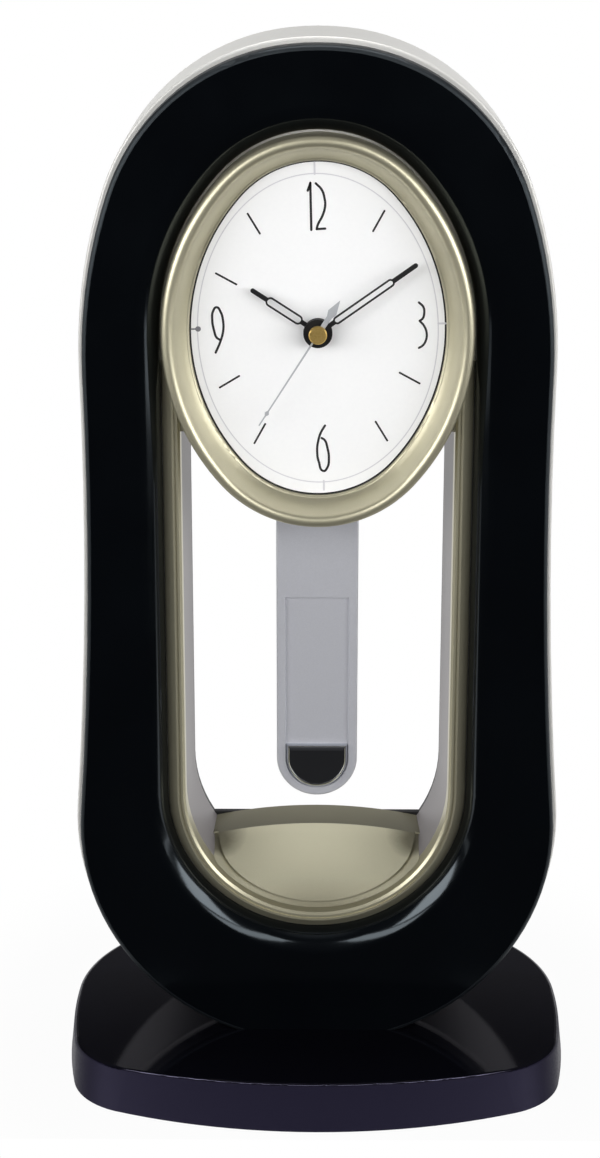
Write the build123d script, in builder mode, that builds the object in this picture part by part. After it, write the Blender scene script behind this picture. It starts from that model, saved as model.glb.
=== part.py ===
# Desk pendulum clock, in millimetres. The front faces -Y, up is +Z, and the origin is on the table
# under the middle of the base.
import math
import os

from build123d import *

os.makedirs("parts", exist_ok=True)

# Case outline seen from the front: tangent arcs for the crown, shoulders, waist and round foot
case_top = 347.3
lobe_half = 76.5
lobe_z = 246.0
crown_radius = 90.0
shoulder_radius = 69.0
side_radius = 167.5
waist_radius = 1440.0
foot_radius = 81.3
foot_z = 86.0

# Case shell in depth
case_front = -13.0
case_depth = 37.0
case_wall = 2.4
web = 2.2
case_rear = case_front + case_depth
web_back = case_front + web

# Gloss front ring with its rolled edges
ring_proud = 9.0
ring_inset = 1.8
ring_wall = 3.0
ring_hollow = 5.5
ring_outer_roll = 1.6
ring_inner_roll = 8.2
ring_front = case_front - ring_proud

# Opening in the ring: straight sides, round at the foot, half an oval round the bezel
opening_half = 50.2
opening_foot_z = 97.7
opening_rise = 63.4
oval_crown_radius = 42.0

# Champagne window frame: a bevel, then a ridge with a fine groove
frame_gap = 0.2
frame_bevel = 3.1
frame_proud = 3.4
frame_lip = 0.5
frame_chamfer = 0.8
groove_width = 0.5
groove_depth = 0.5
frame_half = opening_half - frame_gap
ridge_half = frame_half - frame_bevel
frame_inner_half = 44.2
frame_tube = 5.0
frame_arm_top = 246.0

# Pendulum tunnel through the case
tunnel_front = case_front + frame_tube
tunnel_draft = 2.6
tunnel_wall = 2.0
ceiling_z = 222.5
cover_thick = 2.2
cover_sink = 0.2
cover_back = case_rear - cover_sink
cover_face = cover_back - cover_thick
tunnel_run = cover_face - tunnel_front
tunnel_lean = tunnel_run * math.tan(math.radians(tunnel_draft))
tunnel_rear_half = frame_inner_half - tunnel_lean
tunnel_rear_top = ceiling_z - tunnel_lean

# Apron at the foot of the window: an arched shelf, with a panel scooped down to the frame's round foot
arch_z = 77.4
arch_half = 38.0
arch_sag = 4.5
ridge_y = 6.5
apron_toe_y = case_front + 1.0
apron_bow = 1.5
sill_z = 74.8
apron_wall = 2.2
apron_border = 2.4
apron_step = 0.8
apron_push = 1.2
border_z = arch_z - apron_step
arch_radius = (arch_half ** 2 + arch_sag ** 2) / (2 * arch_sag)
apron_run = cover_face - apron_toe_y

# Dial, bezel and the hands' axis; the ovals are the ring opening drawn in
dial_z = 255.8
dial_inset = 5.3
dial_thick = 1.2
dial_front = case_front - dial_thick
bezel_inset = 0.8
bezel_half = 4.3
bezel_gap = 0.3
bezel_lip_rise = 2.4
bezel_cove_rise = 9.4
bezel_cove_sag = 0.6
bezel_side_rise = 9.0
bezel_line = bezel_inset + bezel_half

# Base
base_w = 172.0
base_d = 142.0
base_front_radius = 180.0
base_side_radius = 205.0
base_front_corner = 26.0
base_rear_corner = 60.0
base_h = 12.0
base_lift = 1.0
base_lean = 1.2
base_front_lean = 10.4
base_top_front_radius = 215.0
base_top_front_corner = 30.0
base_wall = 2.6
base_roll = 1.6
saddle_half = 42.0
saddle_gap = 0.15
foot_pad_radius = 6.0
foot_pad_inset_x = 24.0
foot_pad_inset_y = 31.0
foot_pad_x = base_w / 2 - foot_pad_inset_x
foot_pad_y = base_d / 2 - foot_pad_inset_y
foot_pad_spots = [(foot_pad_x, foot_pad_y), (-foot_pad_x, foot_pad_y),
                  (foot_pad_x, -foot_pad_y), (-foot_pad_x, -foot_pad_y)]

# Screws, shared by every group
screw_head_radius = 2.6
screw_head_height = 1.7
screw_radius = 1.05
pilot_radius = 1.1
pass_radius = 1.35
boss_radius = 3.5
ring_screw_spots = [(0, 332.5), (62.5, 250), (-62.5, 250), (63.5, 140), (-63.5, 140), (0, 27)]
cover_screw_spots = [(45, 317), (-45, 317), (67, 200), (-67, 200), (58, 50), (-58, 50)]
bezel_screw_angles = [35, 145, 205, 335]
bezel_screw_inset = 3.2
base_screw_x = 18.0
base_screw_y = 5.0

# Movement box behind the dial
move_half_w = 30.0
move_low = dial_z - 30.0
move_high = dial_z + 34.5
move_front = web_back
move_split = -1.5
move_back = 5.2
move_wall = 1.4
move_corner = 3.0
bay_floor = dial_z + 17.0
bush_radius = 3.8
bush_front = -15.6
ear_reach = 7.0
ear_half = 4.0
ear_z = dial_z + 2.0
ear_back = -3.8
ear_thick = 2.0
move_inner_front = move_front + move_wall
move_inner_back = move_back - move_wall
move_middle = (move_low + move_high) / 2
move_width = 2 * move_half_w
move_height = move_high - move_low
move_inner_width = move_width - 2 * move_wall
move_inner_height = move_height - 2 * move_wall
ear_x = move_half_w + ear_reach / 2
ear_spots = [(ear_x, ear_z), (-ear_x, ear_z)]

# Opening in the back cover to reach the movement, with a rim inside
access_cover = 4.0
access_gap = 2.5
access_side_gap = 5.0
access_corner = 6.0
access_rim = 2.0
access_rim_depth = 6.0

# Gear train: arbor spots round the hands' axis and tooth counts
run_gap = 0.1
motion_distance = 14.0
third_distance = 13.0
intermediate_distance = 8.4
rotor_distance = 8.1
cannon_teeth = 8
minute_teeth = 24
minute_pinion_teeth = 8
hour_teeth = 32
second_pinion_teeth = 6
third_teeth = 45
third_pinion_teeth = 6
centre_teeth = 48
intermediate_pinion_teeth = 6
second_teeth = 36
rotor_teeth = 6
intermediate_teeth = 30
cannon_module = 2 * motion_distance / (cannon_teeth + minute_teeth)
hour_module = 2 * motion_distance / (minute_pinion_teeth + hour_teeth)
third_module = 2 * third_distance / (second_pinion_teeth + third_teeth)
centre_module = 2 * third_distance / (third_pinion_teeth + centre_teeth)
second_module = 2 * intermediate_distance / (intermediate_pinion_teeth + second_teeth)
rotor_module = 2 * rotor_distance / (rotor_teeth + intermediate_teeth)
tooth_addendum = 0.85
tooth_dedendum = 1.1
tooth_root_share = 0.26
tooth_tip_share = 0.12
minute_angle = 0.0
third_angle = 180.0
intermediate_angle = -60.0
rotor_angle = -35.0
hour_pipe_radius = 2.5
minute_tube_radius = 1.75
second_arbor_radius = 0.6
stub_radius = 0.45
setting_radius = 1.5
post_radius = 1.6

# Heights of the gear layers along Y, front to back
hour_layer = (-9.1, -7.9)
minute_layer = (-7.6, -6.6)
centre_layer = (-6.0, -5.1)
third_layer = (-4.7, -3.9)
second_layer = (-3.0, -2.2)
intermediate_layer = (-1.7, -0.9)
layer_spare = 0.1

# Hands, showing about nine minutes past ten
hour_at = -57.0
minute_at = 54.6
second_at = 212.4
hour_hand_y = dial_front - 2.2
minute_hand_y = dial_front - 4.0
second_hand_y = dial_front - 6.0
hour_tip = 25.2
hour_loop = (6.0, 19.4)
hour_loop_width = 3.1
minute_tip = 38.2
minute_loop = (6.2, 29.2)
minute_loop_width = 2.6
baton_width = 1.45
second_tip = 34.9
second_diamond_at = 30.2
second_tail = 13.0
second_kite_at = 8.4
hand_thick = 0.6
hand_hub_radius = 4.6
hand_stroke = 0.55
cap_radius = 2.9
cap_thick = 1.3

# Pendulum
pivot_z = dial_z - 14.0
pivot_radius = 1.0
lever_front = 1.0
lever_thick = 2.0
lever_half = 3.0
hook_z = 202.0
hook_radius = 1.5
hook_drop = 2.4
magnet_z = pivot_z - 7.3
magnet_radius = 3.0
plate_half = 13.65
plate_low = 91.2
plate_high = 208.0
plate_thick = 3.0
plate_back = lever_front - 0.2
plate_rim = 2.9
panel_high = 162.6
panel_depth = 0.8
bob_high = 110.0
bob_thick = 2.6
bob_roll = 2.2


def facing(y, x=0.0, z=0.0):
    """Plane facing the front at depth y, with local x to the right and local y up."""
    return Plane(origin=(x, y, z), x_dir=(1, 0, 0), z_dir=(0, -1, 0))


def from_behind(y, x=0.0, z=0.0):
    """Plane facing the back at depth y."""
    return Plane(origin=(x, y, z), x_dir=(-1, 0, 0), z_dir=(0, 1, 0))


def reach(centre, toward, radius):
    """Point at a radius from centre, on the line to another point."""
    return centre + (toward - centre).normalized() * radius


def meeting(centre_a, radius_a, centre_b, radius_b):
    """Point at set distances from two centres, on the right of the line from a to b."""
    line = centre_b - centre_a
    along = (radius_a ** 2 - radius_b ** 2 + line.length ** 2) / (2 * line.length)
    aside = math.sqrt(radius_a ** 2 - along ** 2)
    ahead = line.normalized()
    return centre_a + ahead * along + Vector(ahead.Y, -ahead.X) * aside


crown_centre = Vector(0, case_top - crown_radius)
side_centre = Vector(lobe_half - side_radius, lobe_z)
foot_centre = Vector(0, foot_z)
shoulder_centre = meeting(
    crown_centre, crown_radius - shoulder_radius, side_centre, side_radius - shoulder_radius)
waist_centre = meeting(
    foot_centre, foot_radius + waist_radius, side_centre, side_radius + waist_radius)


def case_outline(inset):
    """Case outline, drawn in by inset."""
    crown_end = reach(crown_centre, shoulder_centre, crown_radius - inset)
    shoulder_end = reach(side_centre, shoulder_centre, side_radius - inset)
    side_end = reach(side_centre, waist_centre, side_radius - inset)
    waist_end = reach(foot_centre, waist_centre, foot_radius - inset)
    foot_low = foot_z - foot_radius + inset
    with BuildSketch() as outline:
        with BuildLine():
            crown = TangentArc((0, case_top - inset), crown_end, tangent=(1, 0))
            shoulder = TangentArc(crown_end, shoulder_end, tangent=crown % 1)
            side = TangentArc(shoulder_end, side_end, tangent=shoulder % 1)
            waist = TangentArc(side_end, waist_end, tangent=side % 1)
            mirror([crown, shoulder, side, waist], about=Plane.YZ)
            ThreePointArc(waist_end, (0, foot_low), (-waist_end.X, waist_end.Y))
        make_face()
    return outline.sketch


oval_crown_centre = Vector(0, opening_rise - oval_crown_radius)
oval_drop = opening_half - oval_crown_radius
oval_side_radius = (oval_crown_centre.Y ** 2 + opening_half ** 2 - oval_crown_radius ** 2) / (2 * oval_drop)
oval_side_centre = Vector(opening_half - oval_side_radius, 0)


def oval_corner(inset):
    """Point where the oval's side arc runs into its crown arc."""
    return reach(oval_side_centre, oval_crown_centre, oval_side_radius - inset)


def oval_outline(inset):
    """Oval of four tangent arcs round the hands' axis, drawn in by inset."""
    half = opening_half - inset
    rise = opening_rise - inset
    corner = oval_corner(inset)
    with BuildSketch() as outline:
        with BuildLine():
            ThreePointArc((-corner.X, corner.Y), (0, rise), (corner.X, corner.Y))
            ThreePointArc((corner.X, corner.Y), (half, 0), (corner.X, -corner.Y))
            ThreePointArc((corner.X, -corner.Y), (0, -rise), (-corner.X, -corner.Y))
            ThreePointArc((-corner.X, -corner.Y), (-half, 0), (-corner.X, corner.Y))
        make_face()
    return outline.sketch


def opening_outline(outset):
    """Ring opening: half the oval on top, straight sides and a round foot, drawn out by outset."""
    half = opening_half + outset
    corner = oval_corner(-outset) + Vector(0, dial_z)
    with BuildSketch() as outline:
        with BuildLine():
            ThreePointArc((-corner.X, corner.Y), (0, dial_z + opening_rise + outset), (corner.X, corner.Y))
            TangentArc((half, dial_z), (corner.X, corner.Y), tangent=(0, 1))
            TangentArc((-half, dial_z), (-corner.X, corner.Y), tangent=(0, 1))
            Line((-half, dial_z), (-half, opening_foot_z))
            ThreePointArc((-half, opening_foot_z), (0, opening_foot_z - half), (half, opening_foot_z))
            Line((half, opening_foot_z), (half, dial_z))
        make_face()
    return outline.sketch


def window_outline(half, top, foot_centre=opening_foot_z):
    """Tongue shape: flat on top, straight sides and a round foot."""
    with BuildSketch() as outline:
        with BuildLine():
            Polyline((-half, foot_centre), (-half, top), (half, top), (half, foot_centre))
            ThreePointArc((-half, foot_centre), (0, foot_centre - half), (half, foot_centre))
        make_face()
    return outline.sketch


def base_outline(inset, front_inset, front_arc, front_corner):
    """Base plan: bowed front, back and sides with rounded corners, drawn in, and more at the front."""
    half_w = base_w / 2 - inset
    rear_y = base_d / 2 - inset
    front_y = base_d / 2 - inset - front_inset
    front_radius = front_arc - inset
    rear_radius = base_front_radius - inset
    side_radius = base_side_radius - inset
    front_x = half_w
    rear_x = half_w
    for _ in range(30):
        front_end = front_y - front_radius + math.sqrt(front_radius ** 2 - front_x ** 2)
        front_x = half_w - side_radius + math.sqrt(side_radius ** 2 - front_end ** 2)
        rear_end = rear_y - rear_radius + math.sqrt(rear_radius ** 2 - rear_x ** 2)
        rear_x = half_w - side_radius + math.sqrt(side_radius ** 2 - rear_end ** 2)
    with BuildSketch() as outline:
        with BuildLine():
            ThreePointArc((-front_x, -front_end), (0, -front_y), (front_x, -front_end))
            ThreePointArc((front_x, -front_end), (half_w, 0), (rear_x, rear_end))
            ThreePointArc((rear_x, rear_end), (0, rear_y), (-rear_x, rear_end))
            ThreePointArc((-rear_x, rear_end), (-half_w, 0), (-front_x, -front_end))
        make_face()
        fillet(outline.vertices().group_by(Axis.Y)[0], front_corner - inset)
        fillet(outline.vertices().group_by(Axis.Y)[-1], base_rear_corner - inset)
    return outline.sketch


def base_block(inset, low, high):
    """Solid between the base's foot plan and its smaller top plan, drawn in by inset."""
    with BuildPart() as block:
        with BuildSketch(Plane.XY.offset(low)):
            add(base_outline(inset, 0.0, base_front_radius, base_front_corner))
        with BuildSketch(Plane.XY.offset(high)):
            add(base_outline(inset + base_lean, base_front_lean, base_top_front_radius, base_top_front_corner))
        loft(ruled=True)
    return block.part


def spot(distance, degrees, start=(0.0, 0.0)):
    """Point on the gear layout, measured from the hands' axis."""
    turn = math.radians(degrees)
    return (start[0] + distance * math.cos(turn), start[1] + distance * math.sin(turn))


def gear(teeth, module, facing_angle, gap):
    """Toothed disc with a tooth, or a gap, pointing along facing_angle in degrees."""
    pitch = 2 * math.pi / teeth
    start = math.radians(facing_angle) + (pitch / 2 if gap else 0.0)
    root = (teeth / 2 - tooth_dedendum) * module
    tip = (teeth / 2 + tooth_addendum) * module
    corners = [(root, -tooth_root_share), (tip, -tooth_tip_share),
               (tip, tooth_tip_share), (root, tooth_root_share)]
    points = []
    for tooth in range(teeth):
        for radius, share in corners:
            turn = start + (tooth + share) * pitch
            points.append((radius * math.cos(turn), radius * math.sin(turn)))
    with BuildSketch() as disc:
        with BuildLine():
            Polyline(*points, close=True)
        make_face()
    return disc.sketch


def screws(seats, length):
    """Pan-head screws with cross recesses, their heads on the given planes."""
    with BuildPart() as group:
        for seat in seats:
            with BuildSketch(seat):
                Circle(screw_head_radius)
            extrude(amount=screw_head_height)
            with BuildSketch(seat.offset(screw_head_height)):
                Rectangle(2.6, 0.6)
                Rectangle(0.6, 2.6)
            extrude(amount=-0.9, mode=Mode.SUBTRACT)
            with BuildSketch(seat):
                Circle(screw_radius)
            extrude(amount=-length)
    return group.part


minute_spot = spot(motion_distance, minute_angle)
third_spot = spot(third_distance, third_angle)
intermediate_spot = spot(intermediate_distance, intermediate_angle)
rotor_spot = spot(rotor_distance, rotor_angle, intermediate_spot)
bezel_screw_spots = []
for degrees in bezel_screw_angles:
    turn = math.radians(degrees)
    across = (opening_half - bezel_screw_inset) * math.cos(turn)
    bezel_screw_spots.append((across, dial_z + (opening_rise - bezel_screw_inset) * math.sin(turn)))

# Base: hollow moulding with a saddle that takes the case's round foot
with BuildPart() as base_plinth:
    add(base_block(0.0, base_lift, base_h))
    fillet(base_plinth.faces().sort_by(Axis.Z)[-1].edges(), base_roll)
    add(base_block(base_wall, base_lift, base_h - base_wall), mode=Mode.SUBTRACT)
    saddle_y0 = ring_front - 4.0
    saddle_y1 = case_rear + 4.0
    with BuildSketch(Plane.XY.offset(base_lift + 0.8)):
        with Locations((0, (saddle_y0 + saddle_y1) / 2)):
            Rectangle(2 * saddle_half, saddle_y1 - saddle_y0)
    extrude(amount=base_h - base_lift - 2.0)
    with BuildSketch(Plane.XY.offset(base_lift + 2.0)):
        Rectangle(base_w - 2 * base_wall - 8, 2.0)
        with GridLocations(2 * saddle_half - 2, 0, 2, 1):
            Rectangle(2.0, base_d - 2 * base_wall - 44)
        with Locations((0, saddle_y1), (0, saddle_y0)):
            Rectangle(2 * saddle_half, 2.0)
    extrude(amount=base_h - base_lift - 3.0)
    with BuildSketch(Plane.XY.offset(base_lift + 0.6)):
        with Locations(*foot_pad_spots):
            Circle(foot_pad_radius + 0.8)
    extrude(amount=base_h - base_lift - 2.0)
    with BuildSketch(facing(case_rear + saddle_gap)):
        with Locations((0, saddle_gap)):
            add(case_outline(-saddle_gap))
    extrude(amount=case_depth + saddle_gap, mode=Mode.SUBTRACT)
    with BuildSketch(facing(case_front)):
        add(case_outline(ring_inset - saddle_gap))
    extrude(amount=ring_proud + saddle_gap, mode=Mode.SUBTRACT)
    screw_seat_z = base_lift + 2.6
    with BuildSketch(Plane.XY.offset(base_lift)):
        with Locations((base_screw_x, base_screw_y), (-base_screw_x, base_screw_y)):
            Circle(screw_head_radius + 0.5)
    extrude(amount=screw_seat_z - base_lift, mode=Mode.SUBTRACT)
    with BuildSketch(Plane.XY.offset(base_lift)):
        with Locations((base_screw_x, base_screw_y), (-base_screw_x, base_screw_y)):
            Circle(pass_radius)
    extrude(amount=base_h, mode=Mode.SUBTRACT)
base_plinth.part.label = "base_plinth"
export_step(base_plinth.part, "parts/base_plinth.step")

# Rubber pads under the base
with BuildPart() as base_feet:
    with BuildSketch():
        with Locations(*foot_pad_spots):
            Circle(foot_pad_radius)
    extrude(amount=base_lift + 0.6)
    chamfer(base_feet.edges().group_by(Axis.Z)[0], 0.4)
base_feet.part.label = "base_feet"
export_step(base_feet.part, "parts/base_feet.step")

# Silver case: side wall, front web, window collar and drafted tunnel
with BuildPart() as case_body:
    with BuildSketch(facing(case_rear)):
        add(case_outline(0.0))
    extrude(amount=case_depth)
    fillet(case_body.faces().sort_by(Axis.Y)[0].edges(), 0.8)
    fillet(case_body.faces().sort_by(Axis.Y)[-1].edges(), 1.2)
    with BuildSketch(facing(case_rear)):
        add(case_outline(case_wall))
    extrude(amount=case_depth - web, mode=Mode.SUBTRACT)
    with BuildSketch(facing(tunnel_front + tunnel_wall)):
        add(window_outline(ridge_half + frame_gap + tunnel_wall, ceiling_z + tunnel_wall))
    extrude(amount=frame_tube + tunnel_wall)
    with BuildSketch(facing(cover_face)):
        add(window_outline(tunnel_rear_half + tunnel_wall, tunnel_rear_top + tunnel_wall))
    extrude(amount=tunnel_run, taper=-tunnel_draft)
    with BuildSketch(facing(cover_face)):
        add(window_outline(tunnel_rear_half, tunnel_rear_top))
    extrude(amount=tunnel_run, taper=-tunnel_draft, mode=Mode.SUBTRACT)
    with BuildSketch(facing(tunnel_front)):
        add(window_outline(ridge_half + frame_gap, ceiling_z))
    extrude(amount=frame_tube, mode=Mode.SUBTRACT)
    with BuildSketch(facing(cover_face)):
        with Locations(*cover_screw_spots):
            Circle(boss_radius)
    extrude(amount=cover_face - web_back + 0.5)
    with BuildSketch(facing(cover_face)):
        with Locations(*cover_screw_spots):
            Circle(pilot_radius)
    extrude(amount=12, mode=Mode.SUBTRACT)
    with BuildSketch(facing(ear_back - ear_thick)):
        with Locations(*ear_spots):
            Circle(boss_radius)
    extrude(amount=ear_back - ear_thick - web_back + 0.5)
    with BuildSketch(facing(ear_back - ear_thick)):
        with Locations(*ear_spots):
            Circle(pilot_radius)
    extrude(amount=4.6, mode=Mode.SUBTRACT)
    with BuildSketch(facing(web_back)):
        with Locations(*ring_screw_spots, *bezel_screw_spots):
            Circle(pass_radius)
        with Locations((0, dial_z)):
            Circle(bush_radius + 0.3)
    extrude(amount=web, mode=Mode.SUBTRACT)
    with BuildSketch(Plane.XY.offset(ceiling_z - 6)):
        with Locations((0, lever_front + lever_thick / 2)):
            Rectangle(28, 9)
    extrude(amount=12, mode=Mode.SUBTRACT)
    with BuildSketch(Plane.XY.offset(foot_z - foot_radius + 3.3)):
        with Locations((base_screw_x, base_screw_y), (-base_screw_x, base_screw_y)):
            Circle(boss_radius)
    extrude(amount=12)
    with BuildSketch(Plane.XY):
        with Locations((base_screw_x, base_screw_y), (-base_screw_x, base_screw_y)):
            Circle(pilot_radius)
    extrude(amount=17, mode=Mode.SUBTRACT)
case_body.part.label = "case_body"
export_step(case_body.part, "parts/case_body.step")

# Gloss black front ring, hollow behind with screw bosses
with BuildPart() as front_ring:
    with BuildSketch(facing(case_front)):
        add(case_outline(ring_inset))
        add(opening_outline(0.0), mode=Mode.SUBTRACT)
    extrude(amount=ring_proud)
    crown = front_ring.faces().sort_by(Axis.Y)[0]
    fillet(crown.outer_wire().edges(), ring_outer_roll)
    crown = front_ring.faces().filter_by(Axis.Y).sort_by(Axis.Y)[0]
    fillet(crown.inner_wires()[0].edges(), ring_inner_roll)
    with BuildSketch(facing(case_front)):
        add(case_outline(ring_inset + ring_wall))
        add(opening_outline(ring_wall), mode=Mode.SUBTRACT)
    extrude(amount=ring_hollow, mode=Mode.SUBTRACT)
    with BuildSketch(facing(case_front)):
        with Locations(*ring_screw_spots):
            Circle(boss_radius)
    extrude(amount=ring_hollow + 0.5)
    with BuildSketch(facing(case_front)):
        with Locations(*ring_screw_spots):
            Circle(pilot_radius)
    extrude(amount=ring_hollow, mode=Mode.SUBTRACT)
front_ring.part.label = "front_ring"
export_step(front_ring.part, "parts/front_ring.step")

# Champagne frame of the window: bevel, grooved ridge and a tube into the collar
with BuildPart() as window_frame:
    with BuildSketch(facing(case_front)):
        add(window_outline(frame_half, frame_arm_top))
    extrude(amount=frame_lip)
    with BuildSketch(facing(case_front - frame_lip)):
        add(window_outline(frame_half, frame_arm_top + frame_bevel))
    bevel_rise = frame_proud - frame_lip
    extrude(amount=bevel_rise, taper=math.degrees(math.atan(frame_bevel / bevel_rise)))
    with BuildSketch(facing(tunnel_front)):
        add(window_outline(ridge_half, ceiling_z - frame_gap))
    extrude(amount=frame_tube)
    with BuildSketch(facing(tunnel_front)):
        add(window_outline(frame_inner_half, frame_arm_top + 20))
    extrude(amount=frame_tube + frame_proud, mode=Mode.SUBTRACT)
    with BuildSketch(facing(case_front - frame_proud + frame_chamfer)):
        add(window_outline(frame_inner_half, frame_arm_top + 20))
    extrude(amount=frame_chamfer, taper=-45, mode=Mode.SUBTRACT)
    groove_half = (ridge_half + frame_inner_half + frame_chamfer + groove_width) / 2
    with BuildSketch(facing(case_front - frame_proud)):
        add(window_outline(groove_half, frame_arm_top + 20))
        add(window_outline(groove_half - groove_width, frame_arm_top + 30), mode=Mode.SUBTRACT)
    extrude(amount=-groove_depth, mode=Mode.SUBTRACT)
    with BuildSketch(facing(case_front)):
        with Locations((0, dial_z)):
            add(oval_outline(bezel_inset - bezel_gap))
    extrude(amount=frame_proud, mode=Mode.SUBTRACT)
    with BuildSketch(facing(case_front)):
        with Locations((0, frame_arm_top + frame_half)):
            Rectangle(4 * frame_half, 2 * frame_half)
    extrude(amount=frame_proud, mode=Mode.SUBTRACT)
window_frame.part.label = "window_frame"
export_step(window_frame.part, "parts/window_frame.step")

# Apron: arched shelf over the tunnel floor, and a scooped panel raised above its border
def scoop(lower):
    """Space in front of the apron's border, from the frame's round foot to the ridge, lowered."""
    ends_z = border_z - arch_sag
    foot_reach = math.sqrt(frame_inner_half ** 2 - (opening_foot_z - ends_z) ** 2)
    foot_low = opening_foot_z - frame_inner_half
    middle_half = (foot_reach + arch_half) / 2
    middle_low = (foot_low + border_z) / 2 + apron_bow
    middle_y = (apron_toe_y + ridge_y) / 2
    stations = [(apron_toe_y, foot_reach, foot_low), (middle_y, middle_half, middle_low),
                (ridge_y, arch_half, border_z)]
    with BuildPart() as space:
        for y, half, low in stations:
            with BuildSketch(facing(y + apron_push * lower, 0.0, -lower)):
                with BuildLine():
                    ThreePointArc((-half, ends_z), (0, low), (half, ends_z))
                    Polyline((half, ends_z), (half + 10, ends_z), (half + 10, ceiling_z),
                             (-half - 10, ceiling_z), (-half - 10, ends_z), (-half, ends_z))
                make_face()
        loft()
    return space.part


def apron_hood(inset, lower):
    """Solid under the arch and behind the scoop, drawn in by inset and lowered from the border."""
    with BuildPart() as hood:
        with BuildSketch(facing(cover_face)):
            add(window_outline(tunnel_rear_half - inset, ceiling_z - 20))
        extrude(amount=tunnel_run, taper=-tunnel_draft)
        with BuildSketch(facing(tunnel_front)):
            add(window_outline(frame_inner_half - inset, ceiling_z - 20))
        extrude(amount=tunnel_front - apron_toe_y)
        with BuildSketch(facing(cover_face, 0.0, border_z - arch_radius - lower)):
            Circle(arch_radius)
        extrude(amount=apron_run - apron_push * max(lower, 0.0), mode=Mode.INTERSECT)
        add(scoop(lower), mode=Mode.SUBTRACT)
    return hood.part


hood_field = apron_hood(frame_gap / 2, -apron_step)
hood_border = apron_hood(frame_gap / 2, 0.0)
hood_inside = apron_hood(0.0, apron_wall - apron_step)
with BuildPart() as apron_edge:
    add(hood_field)
    with BuildSketch(facing(cover_face)):
        add(window_outline(2 * frame_half, ceiling_z))
        add(window_outline(frame_inner_half - apron_border, ceiling_z - 1), mode=Mode.SUBTRACT)
    extrude(amount=apron_run, mode=Mode.INTERSECT)
    add(hood_border, mode=Mode.SUBTRACT)
    with BuildSketch(facing(cover_face)):
        with Locations((0, arch_z)):
            Rectangle(4 * arch_half, 2 * arch_sag)
    extrude(amount=cover_face - ridge_y, mode=Mode.SUBTRACT)
with BuildPart() as apron:
    add(hood_field)
    add(apron_edge.part, mode=Mode.SUBTRACT)
    add(hood_inside, mode=Mode.SUBTRACT)
apron.part.label = "apron"
export_step(apron.part, "parts/apron.step")

# Oval bezel: a round outer roll, a cove and a small inner bead, swept round the oval
bezel_start = opening_half - bezel_line
bezel_path = oval_outline(bezel_line).wire().moved(Location(facing(case_front, 0.0, dial_z)))
with BuildPart() as dial_bezel:
    with BuildSketch(Plane(origin=(bezel_start, case_front, dial_z), x_dir=(1, 0, 0), z_dir=(0, 0, 1))):
        with BuildLine():
            lip = -bezel_half
            lip_top = (lip + 0.8, -bezel_lip_rise - 0.7)
            crest_start = (0.4, -bezel_cove_rise)
            crest_end = (bezel_half, -bezel_side_rise)
            Line((lip, -dial_thick), (lip, -bezel_lip_rise))
            ThreePointArc((lip, -bezel_lip_rise), (lip + 0.25, -bezel_lip_rise - 0.5), lip_top)
            cove = SagittaArc(lip_top, crest_start, bezel_cove_sag)
            TangentArc(crest_start, crest_end, tangent=cove % 1)
            Polyline(crest_end, (bezel_half, 0), (0.5, 0), (0.5, -dial_thick), (lip, -dial_thick))
        make_face()
    sweep(path=bezel_path)
    with BuildSketch(facing(case_front)):
        with Locations(*bezel_screw_spots):
            Circle(pilot_radius)
    extrude(amount=6.5, mode=Mode.SUBTRACT)
dial_bezel.part.label = "dial_bezel"
export_step(dial_bezel.part, "parts/dial_bezel.step")

# White dial plate with the bush hole
with BuildPart() as dial_plate:
    with BuildSketch(facing(case_front, 0.0, dial_z)):
        add(oval_outline(dial_inset))
        Circle(bush_radius + 0.3, mode=Mode.SUBTRACT)
    extrude(amount=dial_thick)
dial_plate.part.label = "dial_plate"
export_step(dial_plate.part, "parts/dial_plate.step")

# Black back cover: window with a straight sill, and a rimmed opening to reach the movement
access_low = move_low + access_cover
access_high = move_high + access_gap
access_middle = (access_low + access_high) / 2
access_height = access_high - access_low
access_width = move_width + 2 * access_side_gap
with BuildPart() as back_cover:
    with BuildSketch(facing(cover_back)):
        add(case_outline(case_wall + 0.2))
        add(window_outline(tunnel_rear_half, tunnel_rear_top), mode=Mode.SUBTRACT)
        with Locations((0, access_middle)):
            RectangleRounded(access_width, access_height, access_corner, mode=Mode.SUBTRACT)
        with Locations(*cover_screw_spots):
            Circle(pass_radius, mode=Mode.SUBTRACT)
    extrude(amount=cover_thick)
    with BuildSketch(facing(cover_back)):
        add(window_outline(tunnel_rear_half + 1.0, ceiling_z))
        with Locations((0, sill_z + case_top / 2)):
            Rectangle(2 * lobe_half, case_top, mode=Mode.SUBTRACT)
    extrude(amount=cover_thick)
    with BuildSketch(facing(cover_face)):
        with Locations((0, access_middle)):
            RectangleRounded(access_width + 2 * access_rim, access_height + 2 * access_rim,
                             access_corner + access_rim)
            RectangleRounded(access_width, access_height, access_corner, mode=Mode.SUBTRACT)
    extrude(amount=access_rim_depth)
back_cover.part.label = "back_cover"
export_step(back_cover.part, "parts/back_cover.step")

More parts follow.
